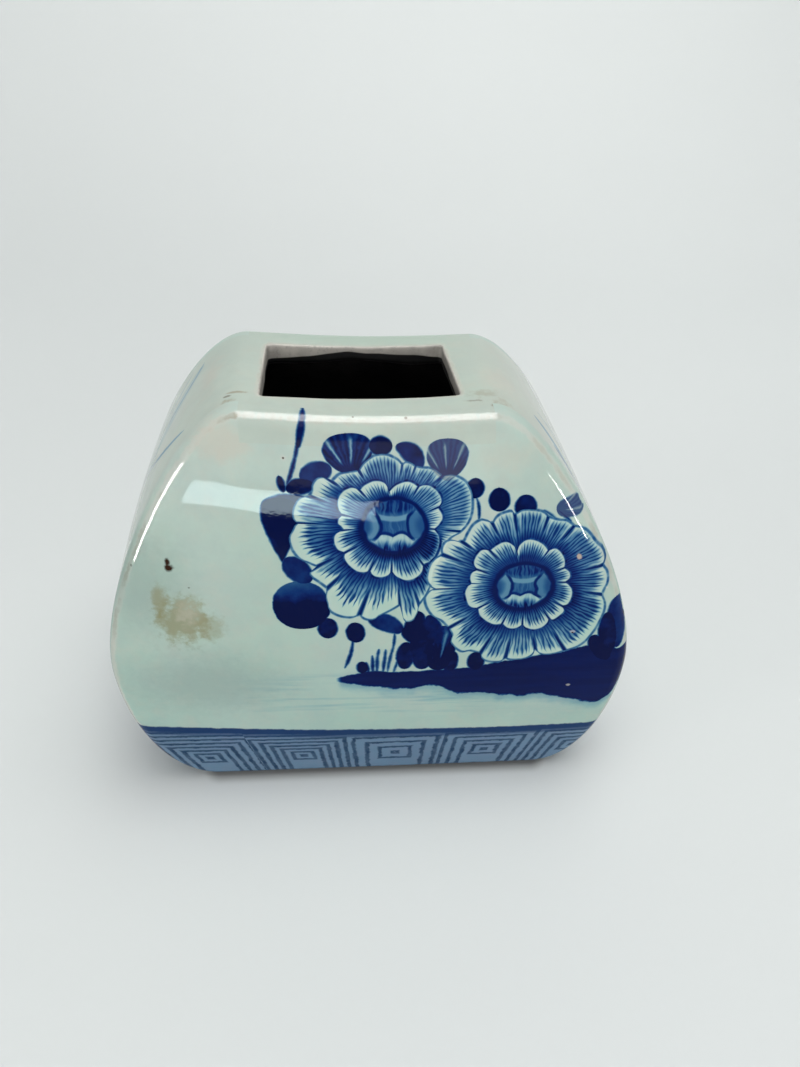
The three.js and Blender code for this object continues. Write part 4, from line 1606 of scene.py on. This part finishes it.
# floor that sweeps up into a backdrop, in metres
studio = {
    "halfWidth": 1.6,
    "front": -1.4,
    "back": 0.62,
    "sweep": 0.35,
    "sweepSteps": 24,
    "height": 1.4,
    "paperDark": (0.525, 0.55, 0.545, 1.0),
    "paperLight": (0.65, 0.675, 0.668, 1.0),
    # paper tones between which its painted shade runs, and the colour of the painted contact shadow round the
    # pot
    "contactShadow": (0.10, 0.105, 0.11, 1.0),
    "airSeen": (0.62, 0.66, 0.65, 1.0),
    "airUnseen": (0.285, 0.297, 0.3, 1.0),
}


def floorMesh():
    back, sweep, wide = studio["back"], studio["sweep"], studio["halfWidth"]
    line = [(studio["front"], 0), (back - sweep, 0)]
    for i in range(1, studio["sweepSteps"] + 1):
        a = math.pi / 2 * i / studio["sweepSteps"]
        line.append((back - sweep * (1 - math.sin(a)), sweep * (1 - math.cos(a))))
    line.append((back, studio["height"]))
    bm = bmesh.new()
    addGrid(bm, [[Vector((x, y, z)) for x in (-wide, wide)] for y, z in line])
    bmesh.ops.recalc_face_normals(bm, faces=bm.faces)
    mesh = bpy.data.meshes.new("paperSweep")
    bm.to_mesh(mesh)
    bm.free()
    for face in mesh.polygons:
        face.use_smooth = True
    return mesh


paper = bpy.data.objects.new("paperSweep", floorMesh())
paper.data.materials.append(paperMaterial())
bpy.context.collection.objects.link(paper)


# the air round the studio: paler where it is seen or mirrored than where it only lights
def studioAir():
    world = bpy.data.worlds.new("studioAir")
    world.use_nodes = True
    rays = world.node_tree.nodes.new("ShaderNodeLightPath").outputs
    seen = highest(Value(rays["Is Camera Ray"]), Value(rays["Is Glossy Ray"]))
    seen = highest(seen, Value(rays["Is Transmission Ray"]))
    shade = blend(seen, studio["airUnseen"], studio["airSeen"])
    feed(world.node_tree.nodes["Background"].inputs["Color"], shade)
    return world


bpy.context.scene.world = studioAir()


# area lamp, which the surface shows in its body colour, in its gloss or in both
def addLight(name, place, target, size, brightness, colour, shownIn="both", roll=0.0):
    data = bpy.data.lights.new(name, "AREA")
    data.shape = "RECTANGLE"
    data.size, data.size_y = size
    data.energy, data.color = brightness * math.pi * size[0] * size[1], colour
    lamp = bpy.data.objects.new(name, data)
    lamp.location = place
    lamp.rotation_mode = "QUATERNION"
    turned = (Vector(target) - Vector(place)).to_track_quat("-Z", "Y")
    lamp.rotation_quaternion = turned @ Quaternion((0, 0, 1), roll)
    lamp.visible_diffuse, lamp.visible_glossy = shownIn != "gloss", shownIn != "body"
    bpy.context.collection.objects.link(lamp)


white, warm, cold = (1.0, 1.0, 1.0), (1.0, 0.99, 0.97), (0.76, 0.96, 1.0)
daylight, yellowish = (1.0, 0.99, 0.96), (1.0, 0.98, 0.95)
addLight("softSky", (0.1, -0.1, 1.1), (0, 0, 0), (1.1, 0.9), 3.2, white)
addLight("frontFill", (0.02, -1.25, 0.34), (0.02, 0, 0.05), (1.2, 0.36), 3.5, warm, "body")
addLight("topStrip", (0.06, -0.06, 1.0), (0.06, -0.06, 0), (0.36, 0.46), 62.0, white, "gloss")
addLight("frontPanel", (0.02, -0.6, 0.236), (0.02, 0, 0.236), (0.44, 0.14), 3.5, yellowish, "gloss")
addLight("frontStrip", (-0.066, -0.6, 0.117), (-0.066, 0, 0.117), (0.214, 0.056), 52.0, cold, "gloss", -0.14)
addLight("leftWindow", (-0.8, -0.36, 0.24), (-0.04, -0.02, 0.08), (0.16, 0.44), 190.0, daylight, "gloss")
addLight("rightWindow", (0.385, -0.62, 0.15), (0.035, -0.02, 0.08), (0.07, 0.2), 190.0, white, "gloss")
print("camera, floor and lights set")

bpy.context.scene.view_settings.view_transform = "Standard"
